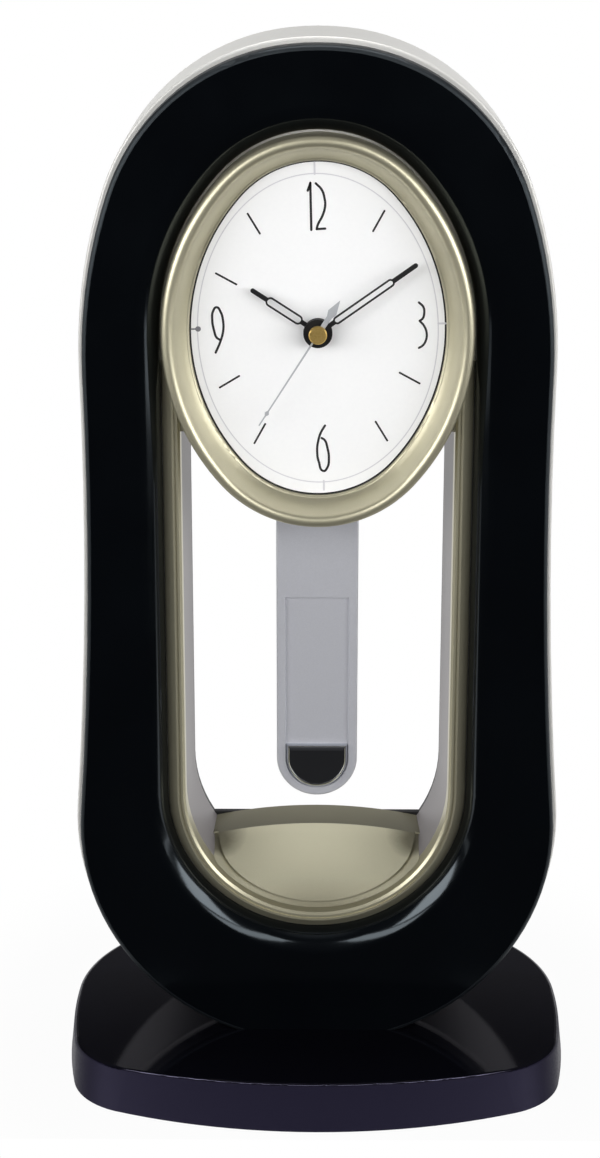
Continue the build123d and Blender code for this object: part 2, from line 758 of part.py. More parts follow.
# Movement box, front half: bush for the hands, battery bay wall, ears and bearing holes
with BuildPart() as movement_housing:
    with BuildSketch(facing(move_split, 0.0, move_middle)):
        RectangleRounded(move_width, move_height, move_corner)
    extrude(amount=move_split - move_front)
    with BuildSketch(facing(move_split, 0.0, move_middle)):
        RectangleRounded(move_inner_width, move_inner_height, move_corner - move_wall)
    extrude(amount=move_split - move_inner_front, mode=Mode.SUBTRACT)
    with BuildSketch(facing(move_split)):
        with Locations((0, bay_floor - move_wall / 2)):
            Rectangle(move_width - move_wall, move_wall)
    extrude(amount=move_split - move_front)
    with BuildSketch(facing(ear_back)):
        with Locations(*ear_spots):
            Rectangle(ear_reach + 2 * move_wall, 2 * ear_half)
    extrude(amount=ear_thick)
    with BuildSketch(facing(ear_back)):
        with Locations(*ear_spots):
            Circle(pass_radius)
    extrude(amount=ear_thick, mode=Mode.SUBTRACT)
    with BuildSketch(facing(ear_back)):
        with Locations((0, ear_z)):
            Rectangle(move_inner_width, 4 * ear_half)
    extrude(amount=ear_thick, mode=Mode.SUBTRACT)
    with BuildSketch(facing(move_front, 0.0, dial_z)):
        Circle(bush_radius)
    extrude(amount=move_front - bush_front)
    with BuildSketch(facing(move_inner_front, 0.0, dial_z)):
        Circle(hour_pipe_radius + run_gap)
    extrude(amount=move_inner_front - bush_front, mode=Mode.SUBTRACT)
    with BuildSketch(facing(move_inner_front, 0.0, dial_z)):
        with Locations(third_spot):
            Circle(second_arbor_radius + run_gap / 2)
        with Locations(minute_spot):
            Circle(0.8 + run_gap / 2)
    extrude(amount=0.9, mode=Mode.SUBTRACT)
    with BuildSketch(facing(-3.0, 0.0, magnet_z)):
        Circle(4.6)
    extrude(amount=-3.0 - move_inner_front)
    with BuildSketch(facing(0.2, 0.0, magnet_z)):
        Circle(2.4)
    extrude(amount=3.4)
    with BuildSketch(facing(-8.4)):
        with Locations((-24, move_low + 5), (-12, move_low + 5), (-24, move_low + 13)):
            Circle(1.5)
    extrude(amount=-8.4 - move_inner_front)
    with BuildSketch(facing(-4.9)):
        with Locations((7.5, move_low + 5), (15, move_low + 5)):
            Circle(1.5)
    extrude(amount=-4.9 - move_inner_front)
movement_housing.part.label = "movement_housing"
export_step(movement_housing.part, "parts/movement_housing.step")

# Movement box, back half: battery opening, lever slot, stub axles and bearing posts
with BuildPart() as movement_cover:
    with BuildSketch(facing(move_back, 0.0, move_middle)):
        RectangleRounded(move_width, move_height, move_corner)
    extrude(amount=move_back - move_split)
    with BuildSketch(facing(move_inner_back, 0.0, move_middle)):
        RectangleRounded(move_inner_width, move_inner_height, move_corner - move_wall)
    extrude(amount=move_inner_back - move_split, mode=Mode.SUBTRACT)
    with BuildSketch(facing(move_back)):
        with Locations((0, bay_floor - move_wall / 2)):
            Rectangle(move_width - move_wall, move_wall)
    extrude(amount=move_back - move_split)
    bay_high = move_high - move_wall
    with BuildSketch(facing(move_back)):
        with Locations((0, (bay_floor + bay_high) / 2)):
            Rectangle(move_inner_width - 2 * move_wall, bay_high - bay_floor)
    extrude(amount=move_wall, mode=Mode.SUBTRACT)
    with BuildSketch(Plane.XY.offset(move_low - 1)):
        with Locations((0, lever_front + lever_thick / 2)):
            Rectangle(20, lever_thick + 0.8)
    extrude(amount=move_wall + 2, mode=Mode.SUBTRACT)
    with BuildSketch(facing(move_back, 0.0, dial_z)):
        with Locations(intermediate_spot, rotor_spot):
            Circle(post_radius)
    extrude(amount=move_back - intermediate_layer[1] - 0.3)
    with BuildSketch(facing(move_back, 0.0, dial_z)):
        Circle(post_radius)
    extrude(amount=move_back + 0.4)
    with BuildSketch(facing(move_back, 0.0, dial_z)):
        with Locations(third_spot):
            Circle(post_radius)
    extrude(amount=move_back - third_layer[1] - 0.3)
    with BuildSketch(facing(move_back, 0.0, dial_z)):
        with Locations(intermediate_spot):
            Circle(stub_radius)
    extrude(amount=move_back - second_layer[0] + 0.2)
    with BuildSketch(facing(move_back, 0.0, dial_z)):
        with Locations(rotor_spot):
            Circle(stub_radius)
    extrude(amount=move_back + 5.6)
    with BuildSketch(facing(move_inner_back, 0.0, dial_z)):
        Circle(second_arbor_radius + run_gap / 2)
        with Locations(third_spot):
            Circle(second_arbor_radius + run_gap / 2)
    extrude(amount=move_inner_back - third_layer[1] + 1.0, mode=Mode.SUBTRACT)
    with BuildSketch(facing(move_back, 0.0, pivot_z)):
        Circle(2.4)
    extrude(amount=move_back - lever_front - lever_thick - 0.3)
    with BuildSketch(facing(move_back, 0.0, pivot_z)):
        Circle(pivot_radius)
    extrude(amount=3.0, mode=Mode.SUBTRACT)
    with BuildSketch(facing(move_back, 0.0, dial_z)):
        with Locations(minute_spot):
            Circle(setting_radius + run_gap)
    extrude(amount=move_wall, mode=Mode.SUBTRACT)
movement_cover.part.label = "movement_cover"
export_step(movement_cover.part, "parts/movement_cover.step")

# Circuit board with its sealed chip
with BuildPart() as circuit_board:
    with BuildSketch(facing(-7.2)):
        with Locations((-18, move_low + 9)):
            Rectangle(18, 13)
    extrude(amount=1.2)
    with BuildSketch(facing(-6.4)):
        with Locations((-18, move_low + 9)):
            Circle(2.6)
    extrude(amount=0.8)
circuit_board.part.label = "circuit_board"
export_step(circuit_board.part, "parts/circuit_board.step")

# Stator plate round the rotor, with the leg that carries the motor coil
stator_low = move_low + 3.0
stator_high = rotor_spot[1] + dial_z + 4.4
stator_left = rotor_spot[0] - 4.6
stator_right = 24.6
coil_leg = 3.4
with BuildPart() as stator:
    with BuildSketch(facing(-3.9)):
        with Locations(((stator_left + stator_right) / 2, (stator_low + stator_high) / 2)):
            Rectangle(stator_right - stator_left, stator_high - stator_low)
        with Locations((stator_right - coil_leg - 2.3, (stator_low + stator_high) / 2)):
            Rectangle(4.6, stator_high - stator_low - 5.0, mode=Mode.SUBTRACT)
        with Locations((rotor_spot[0], rotor_spot[1] + dial_z)):
            Circle(3.1, mode=Mode.SUBTRACT)
    extrude(amount=1.0)
stator.part.label = "stator"
export_step(stator.part, "parts/stator.step")

# Motor coil wound round the stator's leg
coil_z = (stator_low + stator_high) / 2
with BuildPart() as motor_coil:
    with BuildSketch(Plane.XY.offset(coil_z - 5.6)):
        with Locations((stator_right - coil_leg / 2, -4.4)):
            RectangleRounded(coil_leg + 3.6, 5.0, 1.6)
            Rectangle(coil_leg, 1.0, mode=Mode.SUBTRACT)
    extrude(amount=11.2)
motor_coil.part.label = "motor_coil"
export_step(motor_coil.part, "parts/motor_coil.step")

# Rotor: magnet and six-leaf pinion on its stub axle
with BuildPart() as rotor:
    with BuildSketch(facing(-3.4, rotor_spot[0], rotor_spot[1] + dial_z)):
        Circle(2.6)
    extrude(amount=2.0)
    with BuildSketch(facing(intermediate_layer[0] - layer_spare, rotor_spot[0], rotor_spot[1] + dial_z)):
        Circle(1.1)
    extrude(amount=intermediate_layer[0] - layer_spare + 3.4)
    with BuildSketch(facing(intermediate_layer[1] + layer_spare, rotor_spot[0], rotor_spot[1] + dial_z)):
        add(gear(rotor_teeth, rotor_module, rotor_angle + 180, False))
    extrude(amount=intermediate_layer[1] + layer_spare - (intermediate_layer[0] - layer_spare))
    with BuildSketch(facing(0.0, rotor_spot[0], rotor_spot[1] + dial_z)):
        Circle(stub_radius + run_gap / 2)
    extrude(amount=8, mode=Mode.SUBTRACT)
rotor.part.label = "rotor"
export_step(rotor.part, "parts/rotor.step")

# Intermediate wheel and pinion
with BuildPart() as intermediate_wheel:
    with BuildSketch(facing(intermediate_layer[1], intermediate_spot[0], intermediate_spot[1] + dial_z)):
        add(gear(intermediate_teeth, rotor_module, rotor_angle, True))
    extrude(amount=intermediate_layer[1] - intermediate_layer[0])
    with BuildSketch(facing(intermediate_layer[0], intermediate_spot[0], intermediate_spot[1] + dial_z)):
        add(gear(intermediate_pinion_teeth, second_module, intermediate_angle + 180, False))
    extrude(amount=intermediate_layer[0] - (second_layer[0] - layer_spare))
    with BuildSketch(facing(0.0, intermediate_spot[0], intermediate_spot[1] + dial_z)):
        Circle(stub_radius + run_gap / 2)
    extrude(amount=8, mode=Mode.SUBTRACT)
intermediate_wheel.part.label = "intermediate_wheel"
export_step(intermediate_wheel.part, "parts/intermediate_wheel.step")

# Second wheel, its pinion and the long arbor to the second hand
with BuildPart() as second_wheel:
    with BuildSketch(facing(second_layer[1], 0.0, dial_z)):
        add(gear(second_teeth, second_module, intermediate_angle, True))
    extrude(amount=second_layer[1] - second_layer[0])
    with BuildSketch(facing(second_layer[0], 0.0, dial_z)):
        add(gear(second_pinion_teeth, third_module, third_angle, False))
    extrude(amount=second_layer[0] - (third_layer[0] - layer_spare))
    with BuildSketch(facing(0.8, 0.0, dial_z)):
        Circle(second_arbor_radius)
    extrude(amount=0.8 - second_hand_y + hand_thick)
second_wheel.part.label = "second_wheel"
export_step(second_wheel.part, "parts/second_wheel.step")

# Third wheel and pinion
with BuildPart() as third_wheel:
    with BuildSketch(facing(third_layer[1], third_spot[0], third_spot[1] + dial_z)):
        add(gear(third_teeth, third_module, third_angle + 180, True))
    extrude(amount=third_layer[1] - third_layer[0])
    with BuildSketch(facing(third_layer[0], third_spot[0], third_spot[1] + dial_z)):
        add(gear(third_pinion_teeth, centre_module, third_angle + 180, False))
    extrude(amount=third_layer[0] - (centre_layer[0] - layer_spare))
    with BuildSketch(facing(0.0, third_spot[0], third_spot[1] + dial_z)):
        Circle(second_arbor_radius)
    extrude(amount=-move_inner_front + 0.7)
third_wheel.part.label = "third_wheel"
export_step(third_wheel.part, "parts/third_wheel.step")

# Centre wheel, a friction ring on the minute arbor
with BuildPart() as centre_wheel:
    with BuildSketch(facing(centre_layer[1], 0.0, dial_z)):
        add(gear(centre_teeth, centre_module, third_angle, True))
        Circle(minute_tube_radius + run_gap / 2, mode=Mode.SUBTRACT)
    extrude(amount=centre_layer[1] - centre_layer[0])
centre_wheel.part.label = "centre_wheel"
export_step(centre_wheel.part, "parts/centre_wheel.step")

# Minute arbor with the cannon pinion
with BuildPart() as minute_arbor:
    with BuildSketch(facing(centre_layer[1] + layer_spare, 0.0, dial_z)):
        Circle(minute_tube_radius)
    extrude(amount=centre_layer[1] + layer_spare - minute_hand_y + hand_thick + 0.4)
    with BuildSketch(facing(minute_layer[1] + layer_spare, 0.0, dial_z)):
        add(gear(cannon_teeth, cannon_module, minute_angle, False))
    extrude(amount=minute_layer[1] + layer_spare - (minute_layer[0] - layer_spare))
    with BuildSketch(facing(0.0, 0.0, dial_z)):
        Circle(second_arbor_radius + run_gap)
    extrude(amount=30, mode=Mode.SUBTRACT)
minute_arbor.part.label = "minute_arbor"
export_step(minute_arbor.part, "parts/minute_arbor.step")

# Minute wheel and pinion on the setting shaft
with BuildPart() as minute_wheel:
    with BuildSketch(facing(minute_layer[1], minute_spot[0], minute_spot[1] + dial_z)):
        add(gear(minute_teeth, cannon_module, minute_angle + 180, True))
    extrude(amount=minute_layer[1] - minute_layer[0])
    with BuildSketch(facing(minute_layer[0], minute_spot[0], minute_spot[1] + dial_z)):
        add(gear(minute_pinion_teeth, hour_module, minute_angle + 180, False))
    extrude(amount=minute_layer[0] - (hour_layer[0] - layer_spare))
    with BuildSketch(facing(move_back + 4.0, minute_spot[0], minute_spot[1] + dial_z)):
        Circle(setting_radius)
    extrude(amount=move_back + 4.0 - minute_layer[1])
    with BuildSketch(facing(hour_layer[0], minute_spot[0], minute_spot[1] + dial_z)):
        Circle(0.8)
    extrude(amount=hour_layer[0] - move_inner_front + 0.7)
minute_wheel.part.label = "minute_wheel"
export_step(minute_wheel.part, "parts/minute_wheel.step")

# Hour wheel and its pipe through the bush
with BuildPart() as hour_wheel:
    with BuildSketch(facing(hour_layer[1], 0.0, dial_z)):
        add(gear(hour_teeth, hour_module, minute_angle, True))
    extrude(amount=hour_layer[1] - hour_layer[0])
    with BuildSketch(facing(hour_layer[0], 0.0, dial_z)):
        Circle(hour_pipe_radius)
    extrude(amount=hour_layer[0] - hour_hand_y + hand_thick + 0.2)
    with BuildSketch(facing(0.0, 0.0, dial_z)):
        Circle(minute_tube_radius + run_gap)
    extrude(amount=30, mode=Mode.SUBTRACT)
hour_wheel.part.label = "hour_wheel"
export_step(hour_wheel.part, "parts/hour_wheel.step")

# Fluted setting knob on the back
with BuildPart() as setting_knob:
    with BuildSketch(facing(move_back + 6.0, minute_spot[0], minute_spot[1] + dial_z)):
        Circle(6.0)
        with PolarLocations(6.4, 16):
            Circle(0.9, mode=Mode.SUBTRACT)
    extrude(amount=5.6)
    with BuildSketch(facing(move_back + 4.0, minute_spot[0], minute_spot[1] + dial_z)):
        Circle(setting_radius)
    extrude(amount=4, mode=Mode.SUBTRACT)
setting_knob.part.label = "setting_knob"
export_step(setting_knob.part, "parts/setting_knob.step")

# Drive coil that kicks the pendulum
with BuildPart() as pendulum_coil:
    with BuildSketch(facing(0.4, 0.0, magnet_z)):
        Circle(5.8)
        Circle(2.45, mode=Mode.SUBTRACT)
    extrude(amount=3.4)
pendulum_coil.part.label = "pendulum_coil"
export_step(pendulum_coil.part, "parts/pendulum_coil.step")

# Penlight cell lying in the bay, with its contact plate and spring
cell_radius = 7.15
cell_length = 49.2
nub_length = 1.3
cell_y = move_inner_front + cell_radius + 0.1
cell_z = bay_floor + cell_radius
contact_x = move_half_w - move_wall - 0.4
cell_end = contact_x - nub_length
with BuildPart() as battery:
    with BuildSketch(Plane.YZ.offset(cell_end - cell_length)):
        with Locations((cell_y, cell_z)):
            Circle(cell_radius)
    extrude(amount=cell_length)
    chamfer(battery.edges().filter_by(GeomType.CIRCLE), 0.6)
    with BuildSketch(Plane.YZ.offset(cell_end)):
        with Locations((cell_y, cell_z)):
            Circle(2.7)
    extrude(amount=nub_length)
battery.part.label = "battery"
export_step(battery.part, "parts/battery.step")

with BuildPart() as contact_plate:
    with BuildSketch(Plane.YZ.offset(contact_x)):
        with Locations((cell_y, cell_z)):
            Rectangle(9, 10)
    extrude(amount=0.4)
contact_plate.part.label = "contact_plate"
export_step(contact_plate.part, "parts/contact_plate.step")

spring_wire = 0.35
spring_radius = 3.6
spring_from = move_wall - move_half_w
spring_run = cell_end - cell_length - spring_from - 2 * spring_wire
spring_turns = 4
with BuildPart() as contact_spring:
    with BuildLine() as coil_line:
        Helix(pitch=spring_run / spring_turns, height=spring_run, radius=spring_radius,
              center=(spring_from + spring_wire, cell_y, cell_z), direction=(1, 0, 0))
    with BuildSketch(Plane(origin=coil_line.line @ 0, z_dir=coil_line.line % 0)):
        Circle(spring_wire)
    sweep(path=coil_line.wires()[0])
contact_spring.part.label = "contact_spring"
export_step(contact_spring.part, "parts/contact_spring.step")

# Pendulum pivot pin, set in the movement's back
with BuildPart() as pendulum_pivot:
    with BuildSketch(facing(move_back, 0.0, pivot_z)):
        Circle(pivot_radius)
    extrude(amount=move_back - lever_front + 0.5)
pendulum_pivot.part.label = "pendulum_pivot"
export_step(pendulum_pivot.part, "parts/pendulum_pivot.step")

# Swinging lever with the magnet eye and the hook for the pendulum
with BuildPart() as pendulum_lever:
    with BuildSketch(facing(lever_front + lever_thick)):
        with Locations((0, pivot_z)):
            Circle(3.4)
        with Locations((0, magnet_z)):
            Circle(magnet_radius + 1.4)
        with Locations((0, (pivot_z + hook_z) / 2)):
            SlotCenterToCenter(pivot_z - hook_z, 2 * lever_half, rotation=90)
        with Locations((0, pivot_z)):
            Circle(pivot_radius + 0.06, mode=Mode.SUBTRACT)
        with Locations((0, magnet_z)):
            Circle(magnet_radius, mode=Mode.SUBTRACT)
    extrude(amount=lever_thick)
    with BuildSketch(facing(lever_front, 0.0, hook_z)):
        Circle(hook_radius)
    extrude(amount=lever_front - plate_back + plate_thick + 1.6)
    with BuildSketch(facing(plate_back - plate_thick - 0.4, 0.0, hook_z + 0.9)):
        SlotCenterToCenter(1.8, 2 * hook_radius, rotation=90)
    extrude(amount=1.0)
pendulum_lever.part.label = "pendulum_lever"
export_step(pendulum_lever.part, "parts/pendulum_lever.step")

with BuildPart() as pendulum_magnet:
    with BuildSketch(facing(lever_front + lever_thick, 0.0, magnet_z)):
        Circle(magnet_radius)
    extrude(amount=lever_thick + 0.2)
pendulum_magnet.part.label = "pendulum_magnet"
export_step(pendulum_magnet.part, "parts/pendulum_magnet.step")

# Pendulum plate: round foot, raised rim and a sunk panel
plate_front = plate_back - plate_thick
plate_foot_z = plate_low + plate_half
panel_half = plate_half - plate_rim


with BuildPart() as pendulum_plate:
    with BuildSketch(facing(plate_back)):
        add(window_outline(plate_half, plate_high, plate_foot_z))
    extrude(amount=plate_thick)
    fillet(pendulum_plate.edges().filter_by(Axis.Y).group_by(Axis.Z)[-1], 4.0)
    fillet(pendulum_plate.faces().sort_by(Axis.Y)[0].edges(), 0.7)
    with BuildSketch(facing(plate_front)):
        add(window_outline(panel_half, panel_high, plate_foot_z))
    extrude(amount=-panel_depth, taper=20, mode=Mode.SUBTRACT)
    with BuildSketch(facing(plate_front)):
        with Locations((0, hook_z - hook_drop / 2)):
            SlotCenterToCenter(hook_drop, 2 * hook_radius, rotation=90)
    extrude(amount=-plate_thick, mode=Mode.SUBTRACT)
pendulum_plate.part.label = "pendulum_plate"
export_step(pendulum_plate.part, "parts/pendulum_plate.step")

# Chrome bob, pillowed, at the foot of the panel
with BuildPart() as pendulum_bob:
    with BuildSketch(facing(plate_front + panel_depth)):
        add(window_outline(panel_half - 0.4, bob_high, plate_foot_z))
    extrude(amount=bob_thick)
    fillet(pendulum_bob.faces().sort_by(Axis.Y)[0].edges(), bob_roll)
pendulum_bob.part.label = "pendulum_bob"
export_step(pendulum_bob.part, "parts/pendulum_bob.step")


def hand_plane(y, degrees):
    """Plane at depth y whose local y points along a hand, clockwise from twelve."""
    turn = math.radians(degrees)
    return Plane(origin=(0, y, dial_z), x_dir=(math.cos(turn), 0, -math.sin(turn)), z_dir=(0, -1, 0))


def loop_hand(loop_width, loop, tip, bore):
    """Open loop on a short neck, with a solid baton tip."""
    loop_near, loop_far = loop
    loop_middle = (loop_near + loop_far) / 2
    loop_length = loop_far - loop_near
    with BuildSketch() as outline:
        Circle(hand_hub_radius)
        with Locations((0, loop_middle)):
            SlotOverall(loop_length, loop_width, rotation=90)
        with Locations((0, (tip + loop_far) / 2 - 0.4)):
            SlotOverall(tip - loop_far + 0.8, baton_width, rotation=90)
        with Locations((0, loop_near / 2)):
            Rectangle(baton_width, loop_near + 1)
        with Locations((0, loop_middle)):
            hole_width = loop_width - 2 * hand_stroke
            SlotOverall(loop_length - 2 * hand_stroke, hole_width, rotation=90, mode=Mode.SUBTRACT)
        Circle(bore, mode=Mode.SUBTRACT)
    return outline.sketch


with BuildPart() as hour_hand:
    with BuildSketch(hand_plane(hour_hand_y, hour_at)):
        add(loop_hand(hour_loop_width, hour_loop, hour_tip, hour_pipe_radius))
    extrude(amount=hand_thick)
hour_hand.part.label = "hour_hand"
export_step(hour_hand.part, "parts/hour_hand.step")

with BuildPart() as minute_hand:
    with BuildSketch(hand_plane(minute_hand_y, minute_at)):
        add(loop_hand(minute_loop_width, minute_loop, minute_tip, minute_tube_radius))
    extrude(amount=hand_thick)
minute_hand.part.label = "minute_hand"
export_step(minute_hand.part, "parts/minute_hand.step")

# Second hand: fine needle with a small diamond, and a kite on its tail
with BuildPart() as second_hand:
    with BuildSketch(hand_plane(second_hand_y, second_at)):
        Circle(2.0)
        with BuildLine():
            Polyline((-0.3, 0), (-0.2, second_tip), (0.2, second_tip), (0.3, 0), close=True)
        make_face()
        with BuildLine():
            Polyline((0, second_diamond_at - 1.3), (0.75, second_diamond_at),
                     (0, second_diamond_at + 1.3), (-0.75, second_diamond_at), close=True)
        make_face()
        with BuildLine():
            Polyline((-0.8, 0), (-0.8, -second_kite_at + 1.8), (-1.5, -second_kite_at), (0, -second_tail),
                     (1.5, -second_kite_at), (0.8, -second_kite_at + 1.8), (0.8, 0), close=True)
        make_face()
        Circle(second_arbor_radius, mode=Mode.SUBTRACT)
    extrude(amount=hand_thick / 2)
second_hand.part.label = "second_hand"
export_step(second_hand.part, "parts/second_hand.step")

# Turned brass cap over the arbors
with BuildPart() as hand_cap:
    with BuildSketch(facing(second_hand_y - hand_thick / 2, 0.0, dial_z)):
        Circle(cap_radius)
    extrude(amount=cap_thick)
    chamfer(hand_cap.faces().sort_by(Axis.Y)[0].edges(), 0.35)
    with BuildSketch(facing(second_hand_y - hand_thick / 2, 0.0, dial_z)):
        Circle(second_arbor_radius)
    extrude(amount=hand_thick / 2, mode=Mode.SUBTRACT)
hand_cap.part.label = "hand_cap"
export_step(hand_cap.part, "parts/hand_cap.step")

# Screw groups
ring_screws = screws([from_behind(web_back, x, z) for x, z in ring_screw_spots], web + 4.6)
ring_screws.label = "ring_screws"
export_step(ring_screws, "parts/ring_screws.step")

bezel_screws = screws([from_behind(web_back, x, z) for x, z in bezel_screw_spots], web + 5.0)
bezel_screws.label = "bezel_screws"
export_step(bezel_screws, "parts/bezel_screws.step")

back_cover_screws = screws([from_behind(cover_back, x, z) for x, z in cover_screw_spots], cover_thick + 8.0)
back_cover_screws.label = "back_cover_screws"
export_step(back_cover_screws, "parts/back_cover_screws.step")

movement_screws = screws([from_behind(ear_back, x, ear_z) for x in (-ear_x, ear_x)], ear_thick + 4.0)
movement_screws.label = "movement_screws"
export_step(movement_screws, "parts/movement_screws.step")

base_seats = []
for x in (-base_screw_x, base_screw_x):
    base_seats.append(Plane(origin=(x, base_screw_y, screw_seat_z), x_dir=(1, 0, 0), z_dir=(0, 0, -1)))
base_screws = screws(base_seats, 12.0)
base_screws.label = "base_screws"
export_step(base_screws, "parts/base_screws.step")
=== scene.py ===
# Desk pendulum clock: finishes, dial print and the photograph's view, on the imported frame.
import math

import bmesh
import bpy
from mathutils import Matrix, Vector


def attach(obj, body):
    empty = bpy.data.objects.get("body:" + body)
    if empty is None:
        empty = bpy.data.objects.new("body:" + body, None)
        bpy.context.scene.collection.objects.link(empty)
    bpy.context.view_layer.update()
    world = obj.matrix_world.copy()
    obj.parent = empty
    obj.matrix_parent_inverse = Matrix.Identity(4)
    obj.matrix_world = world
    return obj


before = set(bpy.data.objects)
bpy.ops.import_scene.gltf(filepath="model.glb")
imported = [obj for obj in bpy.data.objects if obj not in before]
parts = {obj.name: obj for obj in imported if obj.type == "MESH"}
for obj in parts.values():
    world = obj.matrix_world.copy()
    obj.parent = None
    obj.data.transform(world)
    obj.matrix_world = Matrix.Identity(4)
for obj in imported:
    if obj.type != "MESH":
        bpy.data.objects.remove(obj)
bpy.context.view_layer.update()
MM = 0.001

# Sizes shared with the source, in millimetres
DIAL_Z = 255.8
DIAL_FACE = -14.2
OPENING_HALF = 50.2
OPENING_RISE = 63.4
OPENING_CROWN = 42.0
BEZEL_LIP_INSET = 9.4

# Dial print, in millimetres; it stands turned by a small angle in degrees
DIAL_TWIST = 1.3
FIGURE_PEN = 0.74
FIGURE_THREE_PEN = 0.72
SIGHT_PEN = 0.6
LEFT_SIGHT_PEN = 0.5
DOT_WIDTH = 1.7
MARK_PEN = 0.62
MARK_LENGTH = 7.9
MARK_CORNER = 0.3
MARK_HALF = 35.0
MARK_RISE = 47.3
MARKS_AT = (0.2, 0.65)
INK_THICK = 0.04
LINE_THICK = 0.05
SIGHT_THICK = 0.06
DOT_THICK = 0.07
RIM_HALF = 38.0
RIM_RISE = 49.6
RIM_WIDTH = 0.35
# Painted shadow along the bezel's lip: its reach inward and under the lip
LIP_SHADOW_INWARD = 0.55
LIP_SHADOW_UNDER_LIP = 0.1
PEN_STEPS = 10
CAP_STEPS = 8
OVAL_STEPS = 200
CORNER_STEPS = 6
HOURS = 12
HOURS_PER_FIGURE = 3
HOUR_UNDER_HAND = 2

# Finishes: shared values, then where each zone of a moulding begins and is full, in metres or as a
# normal's Z; the wire is in millimetres, and the wave texture has this many bands at a scale of one
PLASTIC_IOR = 1.5
NOISE_DETAIL = 3.0
NOISE_LOW = 0.3
NOISE_HIGH = 0.7
FLAKE_SHARE = 0.1
RING_MIDDLE = (0, 0, 0.19)
RING_EDGE = (0.004, 0.02)
RING_EDGE_ROUGHNESS = 0.5
# The base's wall by its normal's Z: satin, and a lighter navy as painted sheen
BASE_WALL_NORMAL = (0.86, 0.73)
BASE_TOP_ROUGHNESS = 0.07
# Painted shade in the tunnel: faces turned toward the middle beyond this
TUNNEL_OUTWARD = -0.002
# Painted shade on the apron: darker below these heights, and on faces turned up this far, down to this
# share
APRON_SHADE_RISE = (0.054, 0.077)
SHELF_SHADE_NORMAL = (0.85, 0.95)
SHELF_SHADE_SHARE = 0.12
WIRE_PITCH = 0.35
WIRE_DEPTH = 0.05
WAVE_BANDS = 3.18

# Floor and surroundings, in metres and as heights of the looking direction
FLOOR_FRONT = -0.074
FLOOR_SIDE = 3
FLOOR_BACK = 4
SHADOW_REACH = (0.10, 0.17)
SHADOW_SHARE = 0.96
BACK_TURN = (0.0, 0.45)
CARD_TOP = (0.30, 0.24)
ROOM_BLUE = 1.03
WHITE = (1, 1, 1, 1)

# Camera where the photograph was taken: pixels, millimetres, metres and degrees
FRAME_HEIGHT = 1158
FOCAL_PIXELS = 2417.38
SENSOR_HEIGHT = 24.0
CAMERA_AT = (0, -0.768, 0.41749)
CAMERA_DOWN = 17.969
CAMERA_TURN = 0.431


def linear(code):
    """Linear colour with alpha from an sRGB hex code."""
    channels = []
    for i in (0, 2, 4):
        c = int(code[i:i + 2], 16) / 255
        channels.append(c / 12.92 if c <= 0.04045 else ((c + 0.055) / 1.055) ** 2.4)
    return (*channels, 1.0)


def add(tree, kind, settings=None, **links):
    """Node of a kind with its settings; links and plain values go in by socket name or number."""
    made = tree.nodes.new(kind)
    for key, value in (settings or {}).items():
        setattr(made, key, value)
    for key, value in links.items():
        socket = made.inputs[int(key[1:]) if key[1:].isdigit() else key.replace("_", " ")]
        if isinstance(value, bpy.types.NodeSocket):
            tree.links.new(value, socket)
        else:
            socket.default_value = value
    return made


def calc(tree, operation, *values):
    """Output of one operation on sockets and plain numbers."""
    numbered = {f"i{i}": value for i, value in enumerate(values)}
    return add(tree, "ShaderNodeMath", {"operation": operation}, **numbered).outputs[0]


def fade(tree, value, reach, low=0.0, high=1.0, kind="LINEAR"):
    """Output that goes from low to high as a value goes from one end of its reach to the other."""
    return add(tree, "ShaderNodeMapRange", {"interpolation_type": kind}, i0=value, i1=reach[0],
               i2=reach[1], i3=low, i4=high).outputs[0]


def axes(tree, output):
    """X, Y and Z of a texture coordinate."""
    place = add(tree, "ShaderNodeTexCoord")
    return add(tree, "ShaderNodeSeparateXYZ", Vector=place.outputs[output]).outputs


def blend(tree, factor, first, second):
    """Colour between two, each a socket or a linear colour."""
    mix = add(tree, "ShaderNodeMix", {"data_type": "RGBA"}, i0=factor, i6=first, i7=second)
    return mix.outputs[2]


def finish_of(name, base, metallic, roughness, **sockets):
    """New Principled material; returns it with its tree and shader."""
    material = bpy.data.materials.new(name)
    material.use_nodes = True
    tree = material.node_tree
    shader = tree.nodes["Principled BSDF"]
    shader.inputs["Base Color"].default_value = linear(base)
    shader.inputs["Metallic"].default_value = metallic
    shader.inputs["Roughness"].default_value = roughness
    if not metallic:
        shader.inputs["IOR"].default_value = PLASTIC_IOR
    for key, value in sockets.items():
        shader.inputs[key.replace("_", " ")].default_value = value
    return material, tree, shader


def grain(tree, shader, size_mm, rough, depth_mm=0.0, stretch=(1.0, 1.0, 1.0)):
    """Noise with a grain of size_mm that sways roughness between two values and dents by depth_mm."""
    place = add(tree, "ShaderNodeTexCoord")
    mapped = add(tree, "ShaderNodeMapping", Vector=place.outputs["Object"], Scale=stretch)
    noise = add(tree, "ShaderNodeTexNoise", Vector=mapped.outputs["Vector"],
                Scale=1 / (size_mm * MM), Detail=NOISE_DETAIL).outputs["Fac"]
    sway = fade(tree, noise, (NOISE_LOW, NOISE_HIGH), *rough)
    tree.links.new(sway, shader.inputs["Roughness"])
    if depth_mm:
        dent = add(tree, "ShaderNodeBump", Strength=1.0, Distance=depth_mm * MM, Height=noise)
        tree.links.new(dent.outputs["Normal"], shader.inputs["Normal"])
    return noise


def tint(tree, shader, factor, first, second):
    """Base colour that drifts between two codes with a factor."""
    tree.links.new(blend(tree, factor, linear(first), linear(second)), shader.inputs["Base Color"])


def regloss(tree, shader, mask, roughness, where):
    """Plain roughness where the mask is 0 or 1, as where says, and the grain's own in the other part."""
    grained = shader.inputs["Roughness"].links[0].from_socket
    mix = add(tree, "ShaderNodeMix", i0=mask)
    mix.inputs[2 + where].default_value = roughness
    tree.links.new(grained, mix.inputs[3 - where])
    tree.links.new(mix.outputs[0], shader.inputs["Roughness"])


